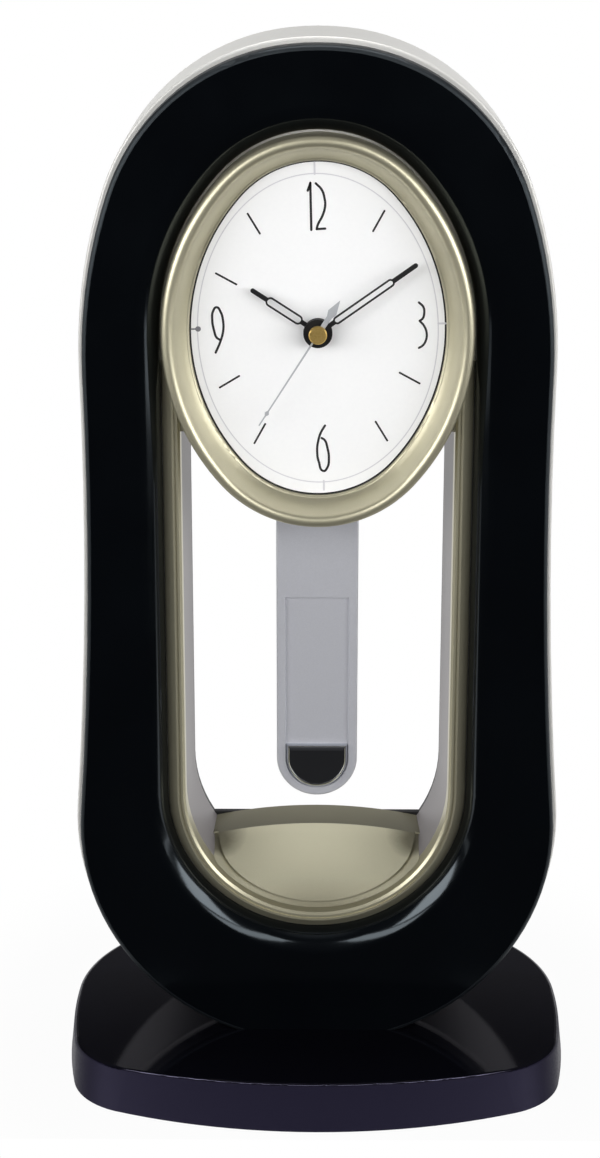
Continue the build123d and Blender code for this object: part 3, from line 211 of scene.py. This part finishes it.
def plain_finish(name, base, roughness, size_mm, rough, drift, depth_mm=0.0, metallic=0.0,
                 stretch=(1.0, 1.0, 1.0), **sockets):
    """Material of one kind all over: a fine grain in its roughness, its relief and its colour."""
    material, tree, shader = finish_of(name, base, metallic, roughness, **sockets)
    tint(tree, shader, grain(tree, shader, size_mm, rough, depth_mm, stretch), *drift)
    return material


# Piano black ABS, polished: deep black with a soft ripple in its mirror, satin round its outer edge
piano_black, tree, shader = finish_of("piano_black_abs", "040507", metallic=0.0, roughness=0.13,
                                      Specular_Tint=linear("e6f5ff"))
ripple = grain(tree, shader, size_mm=30.0, rough=(0.11, 0.16), depth_mm=0.006)
tint(tree, shader, ripple, "030406", "05070a")
place = add(tree, "ShaderNodeTexCoord").outputs
middle = add(tree, "ShaderNodeVectorMath", {"operation": "SUBTRACT"}, i0=place["Object"], i1=RING_MIDDLE)
across = add(tree, "ShaderNodeVectorMath", {"operation": "MULTIPLY"}, i0=middle.outputs[0], i1=(1, 0, 1))
outward = add(tree, "ShaderNodeVectorMath", {"operation": "DOT_PRODUCT"}, i0=across.outputs[0],
              i1=place["Normal"])
edge = fade(tree, outward.outputs["Value"], RING_EDGE)
regloss(tree, shader, edge, RING_EDGE_ROUGHNESS, where=1)

# Navy-black ABS of the base: polished on top, satin with a fine tooth on its sloping wall, which also has a
# painted sheen of lighter navy
navy_black, tree, shader = finish_of("navy_black_abs", "050509", metallic=0.0, roughness=BASE_TOP_ROUGHNESS,
                                     Specular_IOR_Level=0.23, Specular_Tint=linear("d6d0ff"))
grain(tree, shader, size_mm=0.7, rough=(0.4, 0.55), depth_mm=0.01)
wall_satin_and_sheen = fade(tree, axes(tree, "Normal")["Z"], BASE_WALL_NORMAL, kind="SMOOTHSTEP")
regloss(tree, shader, wall_satin_and_sheen, BASE_TOP_ROUGHNESS, where=0)
# Painted sheen: the sloping wall is coloured a lighter navy than the top
tint(tree, shader, wall_satin_and_sheen, "050509", "0e0c1a")

# Silver lacquer over ABS, very fine flake, with painted shade: darker and greyer on the tunnel's
# inward-facing walls
silver_lacquer, tree, shader = finish_of("silver_lacquer", "cccbc7", metallic=0.3, roughness=0.45)
flake = grain(tree, shader, size_mm=0.35, rough=(0.42, 0.48))
outward = calc(tree, "MULTIPLY", axes(tree, "Object")["X"], axes(tree, "Normal")["X"])
tunnel_shade = calc(tree, "LESS_THAN", outward, TUNNEL_OUTWARD)
# Painted shade: inward-facing walls take the darker grey
tint(tree, shader, calc(tree, "MULTIPLY_ADD", flake, FLAKE_SHARE, tunnel_shade), "d8d7d3", "8d898a")

# Champagne metallic lacquer: satin, warm, with a very fine flake
champagne = plain_finish("champagne_lacquer", "c0bba2", roughness=0.37, size_mm=0.35, rough=(0.34, 0.4),
                         drift=("bcb79e", "c4bfa6"), metallic=0.75)

# The same lacquer on the apron, rougher and less metallic, with painted shade: darker toward the toe and on
# the shelf behind
champagne_painted_shade, tree, shader = finish_of("champagne_lacquer_painted_shade", "c9c4aa", metallic=0.45, roughness=0.48)
flake = grain(tree, shader, size_mm=0.35, rough=(0.45, 0.51))
# Painted shade: the colour darkens toward the toe and on the upward-facing shelf
toe_shade = fade(tree, axes(tree, "Object")["Z"], APRON_SHADE_RISE)
shelf_shade = fade(tree, axes(tree, "Normal")["Z"], SHELF_SHADE_NORMAL, 1.0, SHELF_SHADE_SHARE)
painted_lighting = calc(tree, "MULTIPLY", toe_shade, shelf_shade)
tint(tree, shader, calc(tree, "MULTIPLY_ADD", flake, FLAKE_SHARE, painted_lighting), "726e5b", "d8d4ba")

# White stoved lacquer on the dial sheet: even, with a faint tooth
dial_white = plain_finish("white_dial_lacquer", "f7f7f7", roughness=0.45, size_mm=1.2, rough=(0.4, 0.5),
                          depth_mm=0.002, drift=("f5f5f6", "f9f9f9"))

# Grained black ABS, spark-eroded mould texture: broad dull sheen
grained_black = plain_finish("grained_black_abs", "141416", roughness=0.55, size_mm=0.6,
                             rough=(0.48, 0.62), depth_mm=0.03, drift=("101012", "19191c"))

# Moulded black housing of the movement: smoother, half-matt
housing_black = plain_finish("moulded_black_abs", "17171a", roughness=0.42, size_mm=2.0,
                             rough=(0.36, 0.48), depth_mm=0.01, drift=("131316", "1c1c20"))

# Soft rubber pads: dull, with a powdery grain
pad_rubber = plain_finish("soft_rubber", "1a1a1b", roughness=0.85, size_mm=0.8, rough=(0.8, 0.95),
                          depth_mm=0.03, drift=("151516", "202021"))

# Zinc-plated steel screws: greyish and slightly uneven
zinc_steel = plain_finish("zinc_plated_steel", "b9bcbf", roughness=0.3, size_mm=1.5, rough=(0.24, 0.4),
                          depth_mm=0.004, drift=("acafb3", "c5c7c9"), metallic=1.0)

# Natural acetal wheels: milky, waxy
acetal = plain_finish("natural_acetal", "e9e7dd", roughness=0.35, size_mm=2.0, rough=(0.3, 0.42),
                      depth_mm=0.003, drift=("e4e1d6", "edebe3"), Subsurface_Weight=0.1)

# Enamelled copper wire: the turns show as fine ridges
copper_wire, tree, shader = finish_of("enamelled_copper", "b5652f", metallic=1.0, roughness=0.3)
place = add(tree, "ShaderNodeTexCoord").outputs
windings = add(tree, "ShaderNodeTexWave", {"bands_direction": "Z"}, Vector=place["Object"],
               Scale=1 / (WIRE_PITCH * MM * WAVE_BANDS))
ridge = add(tree, "ShaderNodeBump", Strength=1.0, Distance=WIRE_DEPTH * MM, Height=windings.outputs["Fac"])
tree.links.new(ridge.outputs["Normal"], shader.inputs["Normal"])

# Stamped silicon iron of the stator: grey with a rolled grain
motor_iron = plain_finish("stamped_iron", "8d8e90", roughness=0.4, size_mm=1.0, rough=(0.34, 0.5),
                          depth_mm=0.004, drift=("838487", "97989a"), metallic=1.0,
                          stretch=(0.15, 1.0, 1.0))

# Sintered ferrite magnets: dark grey, dull, slightly pitted
ferrite = plain_finish("sintered_ferrite", "38383a", roughness=0.6, size_mm=0.5, rough=(0.5, 0.7),
                       depth_mm=0.01, drift=("313133", "404043"))

# Circuit board under green solder resist
board_green = plain_finish("solder_resist", "1d5a33", roughness=0.35, size_mm=1.5, rough=(0.3, 0.45),
                           depth_mm=0.01, drift=("184e2c", "24683c"))

# Shrunk sleeve of the penlight cell, plain dark blue-grey
cell_sleeve = plain_finish("shrunk_sleeve", "3c4652", roughness=0.3, size_mm=4.0, rough=(0.24, 0.38),
                           depth_mm=0.01, drift=("36404b", "434e5b"))

# Nickel-plated spring contacts
nickel = plain_finish("nickel_plate", "cfcbc2", roughness=0.22, size_mm=1.0, rough=(0.18, 0.3),
                      depth_mm=0.002, drift=("c6c2b8", "d8d5cd"), metallic=1.0)

# Satin black lacquer on the stamped hands
hand_black = plain_finish("satin_black_lacquer", "0b0b0d", roughness=0.4, size_mm=0.8,
                          rough=(0.34, 0.46), depth_mm=0.002, drift=("09090b", "0e0e11"))

# Silver-grey lacquer on the rolled aluminium of the second hand
bright_aluminium = plain_finish("silver_lacquered_aluminium", "b9bbbf", roughness=0.4, size_mm=0.6,
                                rough=(0.36, 0.44), drift=("b3b5b9", "bfc1c5"), metallic=0.3)

# Turned brass of the hand cap, with an uneven sheen
turned_brass = plain_finish("turned_brass", "d0ae63", roughness=0.36, size_mm=0.5, rough=(0.3, 0.42),
                            drift=("c09c50", "dcbf7a"), metallic=0.85)

# Silver lacquer of the pendulum plate, cooler than the case
pendulum_silver = plain_finish("pendulum_silver_lacquer", "c8c9d0", roughness=0.38, size_mm=0.5,
                               rough=(0.34, 0.44), depth_mm=0.004, drift=("c2c3ca", "cecfd6"),
                               metallic=0.35)

# Chrome plate on the bob: near-perfect mirror, faintly cool
bob_chrome = plain_finish("chrome_plate", "c9ccd2", roughness=0.05, size_mm=8.0, rough=(0.04, 0.07),
                          depth_mm=0.002, drift=("c5c8ce", "ced1d6"), metallic=1.0)

# Screen-printed dial inks: black, a pale grey and a slate grey
ink_black = plain_finish("black_ink", "08080a", roughness=0.55, size_mm=0.5, rough=(0.5, 0.62),
                         drift=("060607", "0b0b0d"))
ink_grey = plain_finish("grey_ink", "d6d5da", roughness=0.5, size_mm=0.5, rough=(0.45, 0.58),
                        drift=("d2d1d6", "dad9de"))
ink_slate = plain_finish("slate_ink", "77777c", roughness=0.5, size_mm=0.5, rough=(0.45, 0.58),
                         drift=("717176", "7d7d82"))

finishes = {
    piano_black: ["front_ring"],
    navy_black: ["base_plinth"],
    silver_lacquer: ["case_body"],
    champagne: ["window_frame", "dial_bezel"],
    champagne_painted_shade: ["apron"],
    dial_white: ["dial_plate"],
    grained_black: ["back_cover"],
    housing_black: ["movement_housing", "movement_cover", "setting_knob"],
    pad_rubber: ["base_feet"],
    zinc_steel: ["base_screws", "ring_screws", "bezel_screws", "back_cover_screws", "movement_screws",
                 "pendulum_pivot"],
    acetal: ["intermediate_wheel", "second_wheel", "third_wheel", "centre_wheel", "minute_arbor",
             "minute_wheel", "hour_wheel", "pendulum_lever"],
    copper_wire: ["motor_coil", "pendulum_coil"],
    motor_iron: ["stator"],
    ferrite: ["rotor", "pendulum_magnet"],
    board_green: ["circuit_board"],
    cell_sleeve: ["battery"],
    nickel: ["contact_plate", "contact_spring"],
    hand_black: ["hour_hand", "minute_hand"],
    bright_aluminium: ["second_hand"],
    turned_brass: ["hand_cap"],
    pendulum_silver: ["pendulum_plate"],
    bob_chrome: ["pendulum_bob"],
}
for material, names in finishes.items():
    for name in names:
        parts[name].data.materials.clear()
        parts[name].data.materials.append(material)


def piece(name, mesh, material, body="clock_body"):
    """Object at the origin that rides on a body."""
    mesh.materials.clear()
    mesh.materials.append(material)
    obj = bpy.data.objects.new(name, mesh)
    bpy.context.scene.collection.objects.link(obj)
    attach(obj, body)


def turned(x, z, degrees):
    """Point turned about the hands' axis."""
    turn = math.radians(degrees)
    return x * math.cos(turn) - z * math.sin(turn), x * math.sin(turn) + z * math.cos(turn)


def on_dial(x, z, lift):
    """Point of the print, x to the right and z up from the hands' axis, lifted off the dial, in metres."""
    across, up = turned(x, z, DIAL_TWIST)
    return Vector((across * MM, (DIAL_FACE - lift) * MM, (DIAL_Z + up) * MM))


def smooth_line(points):
    """Points along a smooth pen line through the given ones."""
    curve = bpy.data.curves.new("pen_line", "CURVE")
    curve.dimensions = "3D"
    curve.resolution_u = PEN_STEPS
    spline = curve.splines.new("BEZIER")
    spline.bezier_points.add(len(points) - 1)
    for knot, (x, z) in zip(spline.bezier_points, points):
        knot.co = (x, z, 0)
        knot.handle_left_type = knot.handle_right_type = "AUTO"
    holder = bpy.data.objects.new("pen_line", curve)
    bpy.context.scene.collection.objects.link(holder)
    bpy.context.view_layer.update()
    mesh = bpy.data.meshes.new_from_object(holder.evaluated_get(bpy.context.evaluated_depsgraph_get()))
    line = [v.co.copy() for v in mesh.vertices]
    bpy.data.objects.remove(holder)
    bpy.data.meshes.remove(mesh)
    return line


def round_end(tip, before, radius):
    """Points of a half circle round the end of a line, from its left side to its right."""
    ahead = (tip - before).normalized()
    start = math.atan2(ahead.y, ahead.x) + math.pi / 2
    angles = [start - math.pi * k / CAP_STEPS for k in range(1, CAP_STEPS)]
    return [tip + Vector((math.cos(t), math.sin(t), 0)) * radius for t in angles]


def sink(work, tops, thick):
    """Give flat faces a thickness, down to the dial's face."""
    grown = bmesh.ops.extrude_face_region(work, geom=tops)
    sunk = [v for v in grown["geom"] if isinstance(v, bmesh.types.BMVert)]
    bmesh.ops.translate(work, verts=sunk, vec=(0, thick * MM, 0))


def printed(name, work, material):
    """Piece from the faces drawn on the dial."""
    bmesh.ops.recalc_face_normals(work, faces=work.faces)
    mesh = bpy.data.meshes.new(name)
    work.to_mesh(mesh)
    work.free()
    piece(name, mesh, material)


def pen_print(name, strokes, width, material, thick=INK_THICK):
    """Printed strokes with round ends, each a thin raised ribbon on the dial."""
    work = bmesh.new()

    def drawn(points):
        return [work.verts.new(on_dial(p.x, p.y, thick)) for p in points]

    for points in strokes:
        line = smooth_line(points)
        asides = []
        for i in range(len(line)):
            along = (line[min(i + 1, len(line) - 1)] - line[max(i - 1, 0)]).normalized()
            asides.append(Vector((-along.y, along.x, 0)) * width / 2)
        left = drawn(at + aside for at, aside in zip(line, asides))
        right = drawn(at - aside for at, aside in zip(line, asides))
        tops = []
        for i in range(len(line) - 1):
            tops.append(work.faces.new((left[i], right[i], right[i + 1], left[i + 1])))
        end = drawn(round_end(line[-1], line[-2], width / 2))
        start = drawn(round_end(line[0], line[1], width / 2))
        tops.append(work.faces.new([left[-1], right[-1], *reversed(end)]))
        tops.append(work.faces.new([right[0], left[0], *reversed(start)]))
        sink(work, tops, thick)
    printed(name, work, material)


# Thin drawn figures on the dial, in millimetres from the hands' axis
pen_print("dial_twelve", [
    [(-2.25, 44.5), (-1.95, 45.3), (-1.4, 46.9)],
    [(-1.4, 46.9), (-1.4, 39.6), (-1.4, 32.2)],
    [(0.3, 46.7), (2.1, 44.7), (2.95, 41.9), (3.05, 39.4), (2.15, 36.5), (0.65, 33.7), (0.3, 32.4)],
    [(0.3, 32.4), (2.95, 32.5)],
], FIGURE_PEN, ink_black)
pen_print("dial_nine", [
    [(-31.35, -2.15), (-32.2, -1.5), (-32.9, 0.65), (-33.4, 4.2), (-33.0, 7.1), (-31.9, 8.25),
     (-30.65, 6.7), (-29.95, 3.5), (-30.05, 0.6), (-31.1, -2.95), (-32.65, -6.35)],
], FIGURE_PEN, ink_black)
pen_print("dial_three", [
    [(32.1, 8.45), (33.5, 6.95), (33.75, 5.0), (33.25, 3.25), (32.3, 2.55)],
    [(32.3, 2.55), (33.7, 0.85), (34.5, -1.6), (34.15, -4.0), (33.2, -5.45), (32.0, -6.2)],
], FIGURE_THREE_PEN, ink_black)
pen_print("dial_six", [
    [(1.65, -31.0), (0.2, -33.45), (-0.7, -36.4), (-1.05, -39.4), (-0.55, -43.1), (0.9, -46.1),
     (2.15, -44.95), (2.7, -42.15), (2.25, -38.15), (1.45, -35.8), (0.5, -35.1)],
], FIGURE_PEN, ink_black)


def oval_point(inset, turn):
    """Point of the ring's four-arc opening, drawn in by inset, where its outward normal has this turn."""
    crown_z = OPENING_RISE - OPENING_CROWN
    side = (crown_z ** 2 + OPENING_HALF ** 2 - OPENING_CROWN ** 2) / (2 * (OPENING_HALF - OPENING_CROWN))
    side_x = OPENING_HALF - side
    x = math.cos(turn)
    z = math.sin(turn)
    if abs(z) * -side_x < abs(x) * crown_z:
        return (side - inset) * x - math.copysign(side_x, x), (side - inset) * z
    return (OPENING_CROWN - inset) * x, math.copysign(crown_z, z) + (OPENING_CROWN - inset) * z


def closed_line(name, inner, outer, material, slot):
    """Thin closed ribbon on the dial between two rows of points."""
    work = bmesh.new()
    near = [work.verts.new(on_dial(x, z, LINE_THICK)) for x, z in inner]
    far = [work.verts.new(on_dial(x, z, LINE_THICK)) for x, z in outer]
    tops = []
    for i in range(len(near)):
        j = (i + 1) % len(near)
        tops.append(work.faces.new((near[i], far[i], far[j], near[j])))
    sink(work, tops, LINE_THICK)
    printed(name, work, material)


# Fine grey oval, and a black line along the bezel's lip, a painted shadow of the gap under it, that stays
# level under the turned print
oval_turns = [2 * math.pi * i / OVAL_STEPS for i in range(OVAL_STEPS)]
rim_rows = [[((RIM_HALF + out) * math.cos(t), (RIM_RISE + out) * math.sin(t)) for t in oval_turns]
            for out in (0.0, RIM_WIDTH)]
lip_shadow_rows = [[turned(*oval_point(BEZEL_LIP_INSET + inset, t), -DIAL_TWIST) for t in oval_turns]
               for inset in (LIP_SHADOW_INWARD, -LIP_SHADOW_UNDER_LIP)]
closed_line("dial_rim_line", *rim_rows, ink_grey, "dial_white")
# Painted shadow: black ink where the bezel's lip meets the dial
closed_line("dial_lip_shadow_line", *lip_shadow_rows, ink_black, "hand_black")

# Small sighting marks from the bezel's lip to the grey oval at the quarters; the left one ends in a dot
pen_print("dial_quarter_lines", [
    [(0.0, 49.6), (0.0, 51.4), (0.0, 53.2)],
    [(38.2, 1.55), (39.6, 1.55), (40.6, 1.55)],
    [(0.9, -49.4), (0.9, -51.0), (0.9, -52.4)],
], SIGHT_PEN, ink_grey, SIGHT_THICK)
pen_print("dial_left_sight", [
    [(-40.2, 1.4), (-39.2, 1.4), (-38.2, 1.4)],
], LEFT_SIGHT_PEN, ink_slate, SIGHT_THICK)
pen_print("dial_left_dot", [
    [(-38.05, 1.4), (-38.0, 1.4), (-37.95, 1.4)],
], DOT_WIDTH, ink_slate, DOT_THICK)


def hour_mark_tree():
    """Geometry nodes that stand a rounded bar at each hour between the figures but two, on an oval."""
    tree = bpy.data.node_groups.new("hour_marks", "GeometryNodeTree")
    tree.interface.new_socket("Geometry", in_out="OUTPUT", socket_type="NodeSocketGeometry")
    for label, value in (("Half Width", MARK_HALF), ("Half Height", MARK_RISE), ("Length", MARK_LENGTH),
                         ("Width", MARK_PEN), ("Thickness", INK_THICK)):
        socket = tree.interface.new_socket(label, in_out="INPUT", socket_type="NodeSocketFloat")
        socket.default_value = value * MM
    ink = tree.interface.new_socket("Ink", in_out="INPUT", socket_type="NodeSocketMaterial")
    ink.default_value = ink_black
    sizes = add(tree, "NodeGroupInput").outputs
    hour = add(tree, "GeometryNodeInputIndex").outputs["Index"]
    turn = calc(tree, "MULTIPLY", hour, 2 * math.pi / HOURS)
    sine = calc(tree, "SINE", turn)
    cosine = calc(tree, "COSINE", turn)
    wide = calc(tree, "DIVIDE", sine, sizes["Half Width"])
    tall = calc(tree, "DIVIDE", cosine, sizes["Half Height"])
    square = calc(tree, "MULTIPLY_ADD", tall, tall, calc(tree, "MULTIPLY", wide, wide))
    reach = calc(tree, "INVERSE_SQRT", square)
    middle = calc(tree, "MULTIPLY_ADD", sizes["Length"], -0.5, reach)
    spot = add(tree, "ShaderNodeCombineXYZ", X=calc(tree, "MULTIPLY", sine, middle),
               Z=calc(tree, "MULTIPLY", cosine, middle))
    points = add(tree, "GeometryNodePoints", Count=HOURS, Position=spot.outputs[0])
    past_figure = calc(tree, "MODULO", hour, HOURS_PER_FIGURE)
    between = add(tree, "FunctionNodeCompare", {"operation": "GREATER_THAN"}, i0=past_figure, i1=0.5)
    in_sight = add(tree, "FunctionNodeCompare", {"operation": "NOT_EQUAL"}, i0=hour, i1=HOUR_UNDER_HAND)
    chosen = add(tree, "FunctionNodeBooleanMath", {"operation": "AND"}, i0=between.outputs[0],
                 i1=in_sight.outputs[0])
    bar = add(tree, "GeometryNodeCurvePrimitiveQuadrilateral", Width=sizes["Width"],
              Height=sizes["Length"])
    rounded = add(tree, "GeometryNodeFilletCurve", {"mode": "POLY"}, Curve=bar.outputs[0],
                  Count=CORNER_STEPS, Radius=MARK_CORNER * MM)
    flat = add(tree, "GeometryNodeFillCurve", {"mode": "NGONS"}, Curve=rounded.outputs[0])
    lift = add(tree, "ShaderNodeCombineXYZ", Z=sizes["Thickness"])
    raised = add(tree, "GeometryNodeExtrudeMesh", {"mode": "FACES"}, Mesh=flat.outputs[0],
                 Offset=lift.outputs[0], Individual=False)
    upright = add(tree, "GeometryNodeTransform", Geometry=raised.outputs[0], Rotation=(math.pi / 2, 0, 0))
    spin = add(tree, "ShaderNodeCombineXYZ", Y=turn)
    marks = add(tree, "GeometryNodeInstanceOnPoints", Points=points.outputs[0],
                Selection=chosen.outputs[0], Instance=upright.outputs[0], Rotation=spin.outputs[0])
    solid = add(tree, "GeometryNodeRealizeInstances", Geometry=marks.outputs[0])
    inked = add(tree, "GeometryNodeSetMaterial", Geometry=solid.outputs[0], Material=sizes["Ink"])
    add(tree, "NodeGroupOutput", Geometry=inked.outputs[0])
    return tree


seed = bpy.data.objects.new("hour_marks_seed", bpy.data.meshes.new("hour_marks_seed"))
bpy.context.scene.collection.objects.link(seed)
modifier = seed.modifiers.new("hour_marks", "NODES")
modifier.node_group = hour_mark_tree()
bpy.context.view_layer.update()
marks_mesh = bpy.data.meshes.new_from_object(seed.evaluated_get(bpy.context.evaluated_depsgraph_get()))
bpy.data.objects.remove(seed)
for vertex in marks_mesh.vertices:
    x, y, z = vertex.co / MM
    vertex.co = on_dial(x + MARKS_AT[0], z + MARKS_AT[1], -y)
piece("dial_hour_marks", marks_mesh, ink_black)

# The mark at two lies right under the tip of the minute hand at rest
pen_print("dial_two_mark", [[(25.9, 16.75), (28.8, 18.6), (31.65, 20.4)]], MARK_PEN, ink_black)


def light_paths(tree):
    """Light Path outputs, and a mask of the rays from the camera and through glass."""
    path = add(tree, "ShaderNodeLightPath").outputs
    return path, calc(tree, "MAXIMUM", path["Is Camera Ray"], path["Is Transmission Ray"])


# Floor: pale paper with a soft contact shadow close to the base, white further off and in mirrors
floor_mesh = bpy.data.meshes.new("floor")
floor_mesh.from_pydata([(-FLOOR_SIDE, FLOOR_FRONT, 0), (FLOOR_SIDE, FLOOR_FRONT, 0),
                        (FLOOR_SIDE, FLOOR_BACK, 0), (-FLOOR_SIDE, FLOOR_BACK, 0)], [], [(0, 1, 2, 3)])
floor = bpy.data.objects.new("floor", floor_mesh)
bpy.context.scene.collection.objects.link(floor)
paper = bpy.data.materials.new("white_paper_floor")
paper.use_nodes = True
tree = paper.node_tree
tree.nodes.clear()
path, seen = light_paths(tree)
shown = calc(tree, "MAXIMUM", seen, path["Is Glossy Ray"])
place = add(tree, "ShaderNodeTexCoord").outputs
far = add(tree, "ShaderNodeVectorMath", {"operation": "LENGTH"}, i0=place["Object"]).outputs["Value"]
clear = fade(tree, far, SHADOW_REACH, SHADOW_SHARE, 1.0, "SMOOTHSTEP")
white = add(tree, "ShaderNodeEmission", Color=WHITE, Strength=1.0)
matt = add(tree, "ShaderNodeBsdfDiffuse", Color=linear("a8a8a8"))
both = add(tree, "ShaderNodeMixShader", i0=calc(tree, "MULTIPLY", shown, clear), i1=matt.outputs[0],
           i2=white.outputs[0])
add(tree, "ShaderNodeOutputMaterial", Surface=both.outputs[0])
floor_mesh.materials.append(paper)

# Surroundings: white to the camera; mirrors see a low white card behind the clock in a dim room
world = bpy.data.worlds.new("studio")
bpy.context.scene.world = world
world.use_nodes = True
tree = world.node_tree
tree.nodes.clear()
way = axes(tree, "Generated")


def height_ramp(stops):
    """Grey that changes with the height of the looking direction, -1 straight down to 1 straight up."""
    ramp = add(tree, "ShaderNodeValToRGB", Fac=fade(tree, way["Z"], (-1.0, 1.0)))
    points = ramp.color_ramp.elements
    while len(points) < len(stops):
        points.new(0.5)
    for point, (height, grey) in zip(points, stops):
        point.position = (height + 1) / 2
        point.color = (grey, grey, grey * ROOM_BLUE, 1)
    return ramp.outputs["Color"]


front_room = height_ramp([(-1.0, 0.03), (-0.10, 0.02), (0.15, 0.03), (0.9, 0.06), (1.0, 0.30)])
back_room = height_ramp([(-1.0, 0.20), (0.30, 0.20), (0.455, 0.20), (0.475, 0.04), (1.0, 0.25)])
behind = fade(tree, way["Y"], BACK_TURN, kind="SMOOTHSTEP")
room = blend(tree, behind, front_room, back_room)
card = calc(tree, "MULTIPLY", behind, fade(tree, way["Z"], CARD_TOP, kind="SMOOTHSTEP"))
path, seen = light_paths(tree)
mirrored = calc(tree, "MULTIPLY", path["Is Glossy Ray"], card)
sky = blend(tree, calc(tree, "MAXIMUM", seen, mirrored), room, WHITE)
light = add(tree, "ShaderNodeBackground", Color=sky, Strength=1.0)
add(tree, "ShaderNodeOutputWorld", Surface=light.outputs[0])


def softbox(name, at, aim, width, height, power):
    """Large soft lamp at a point, turned to another, in metres and watts."""
    lamp = bpy.data.lights.new(name, "AREA")
    lamp.shape = "RECTANGLE"
    lamp.size = width
    lamp.size_y = height
    lamp.energy = power
    holder = bpy.data.objects.new(name, lamp)
    holder.location = at
    holder.rotation_euler = (Vector(aim) - Vector(at)).to_track_quat("-Z", "Y").to_euler()
    bpy.context.scene.collection.objects.link(holder)


for side, label, low_power in ((-1, "left", 0.12), (1, "right", 0.4)):
    softbox(label + "_softbox", at=(side * 0.88, -0.60, 0.44), aim=(0, 0, 0.22),
            width=0.86, height=0.5, power=7.6)
    softbox(label + "_fill", at=(side * 0.40, -0.97, 0.60), aim=(0, 0, 0.2),
            width=0.26, height=0.8, power=2.65)
    softbox(label + "_low_card", at=(side * 1.02, -0.41, -0.018), aim=(0, 0, 0.24),
            width=0.8, height=0.06, power=low_power)
softbox("top_softbox", at=(0, 0.12, 1.5), aim=(0, 0.1, 0.3), width=1.2, height=0.18, power=11.5)

lens = bpy.data.cameras.new("photo_camera")
lens.sensor_fit = "VERTICAL"
lens.sensor_height = SENSOR_HEIGHT
lens.lens = SENSOR_HEIGHT * FOCAL_PIXELS / FRAME_HEIGHT
lens.clip_start = 0.01
viewer = bpy.data.objects.new("photo_camera", lens)
viewer.location = CAMERA_AT
viewer.rotation_euler = (math.radians(90 - CAMERA_DOWN), 0, math.radians(CAMERA_TURN))
bpy.context.scene.collection.objects.link(viewer)
bpy.context.scene.camera = viewer
bpy.context.scene.view_settings.view_transform = "Standard"
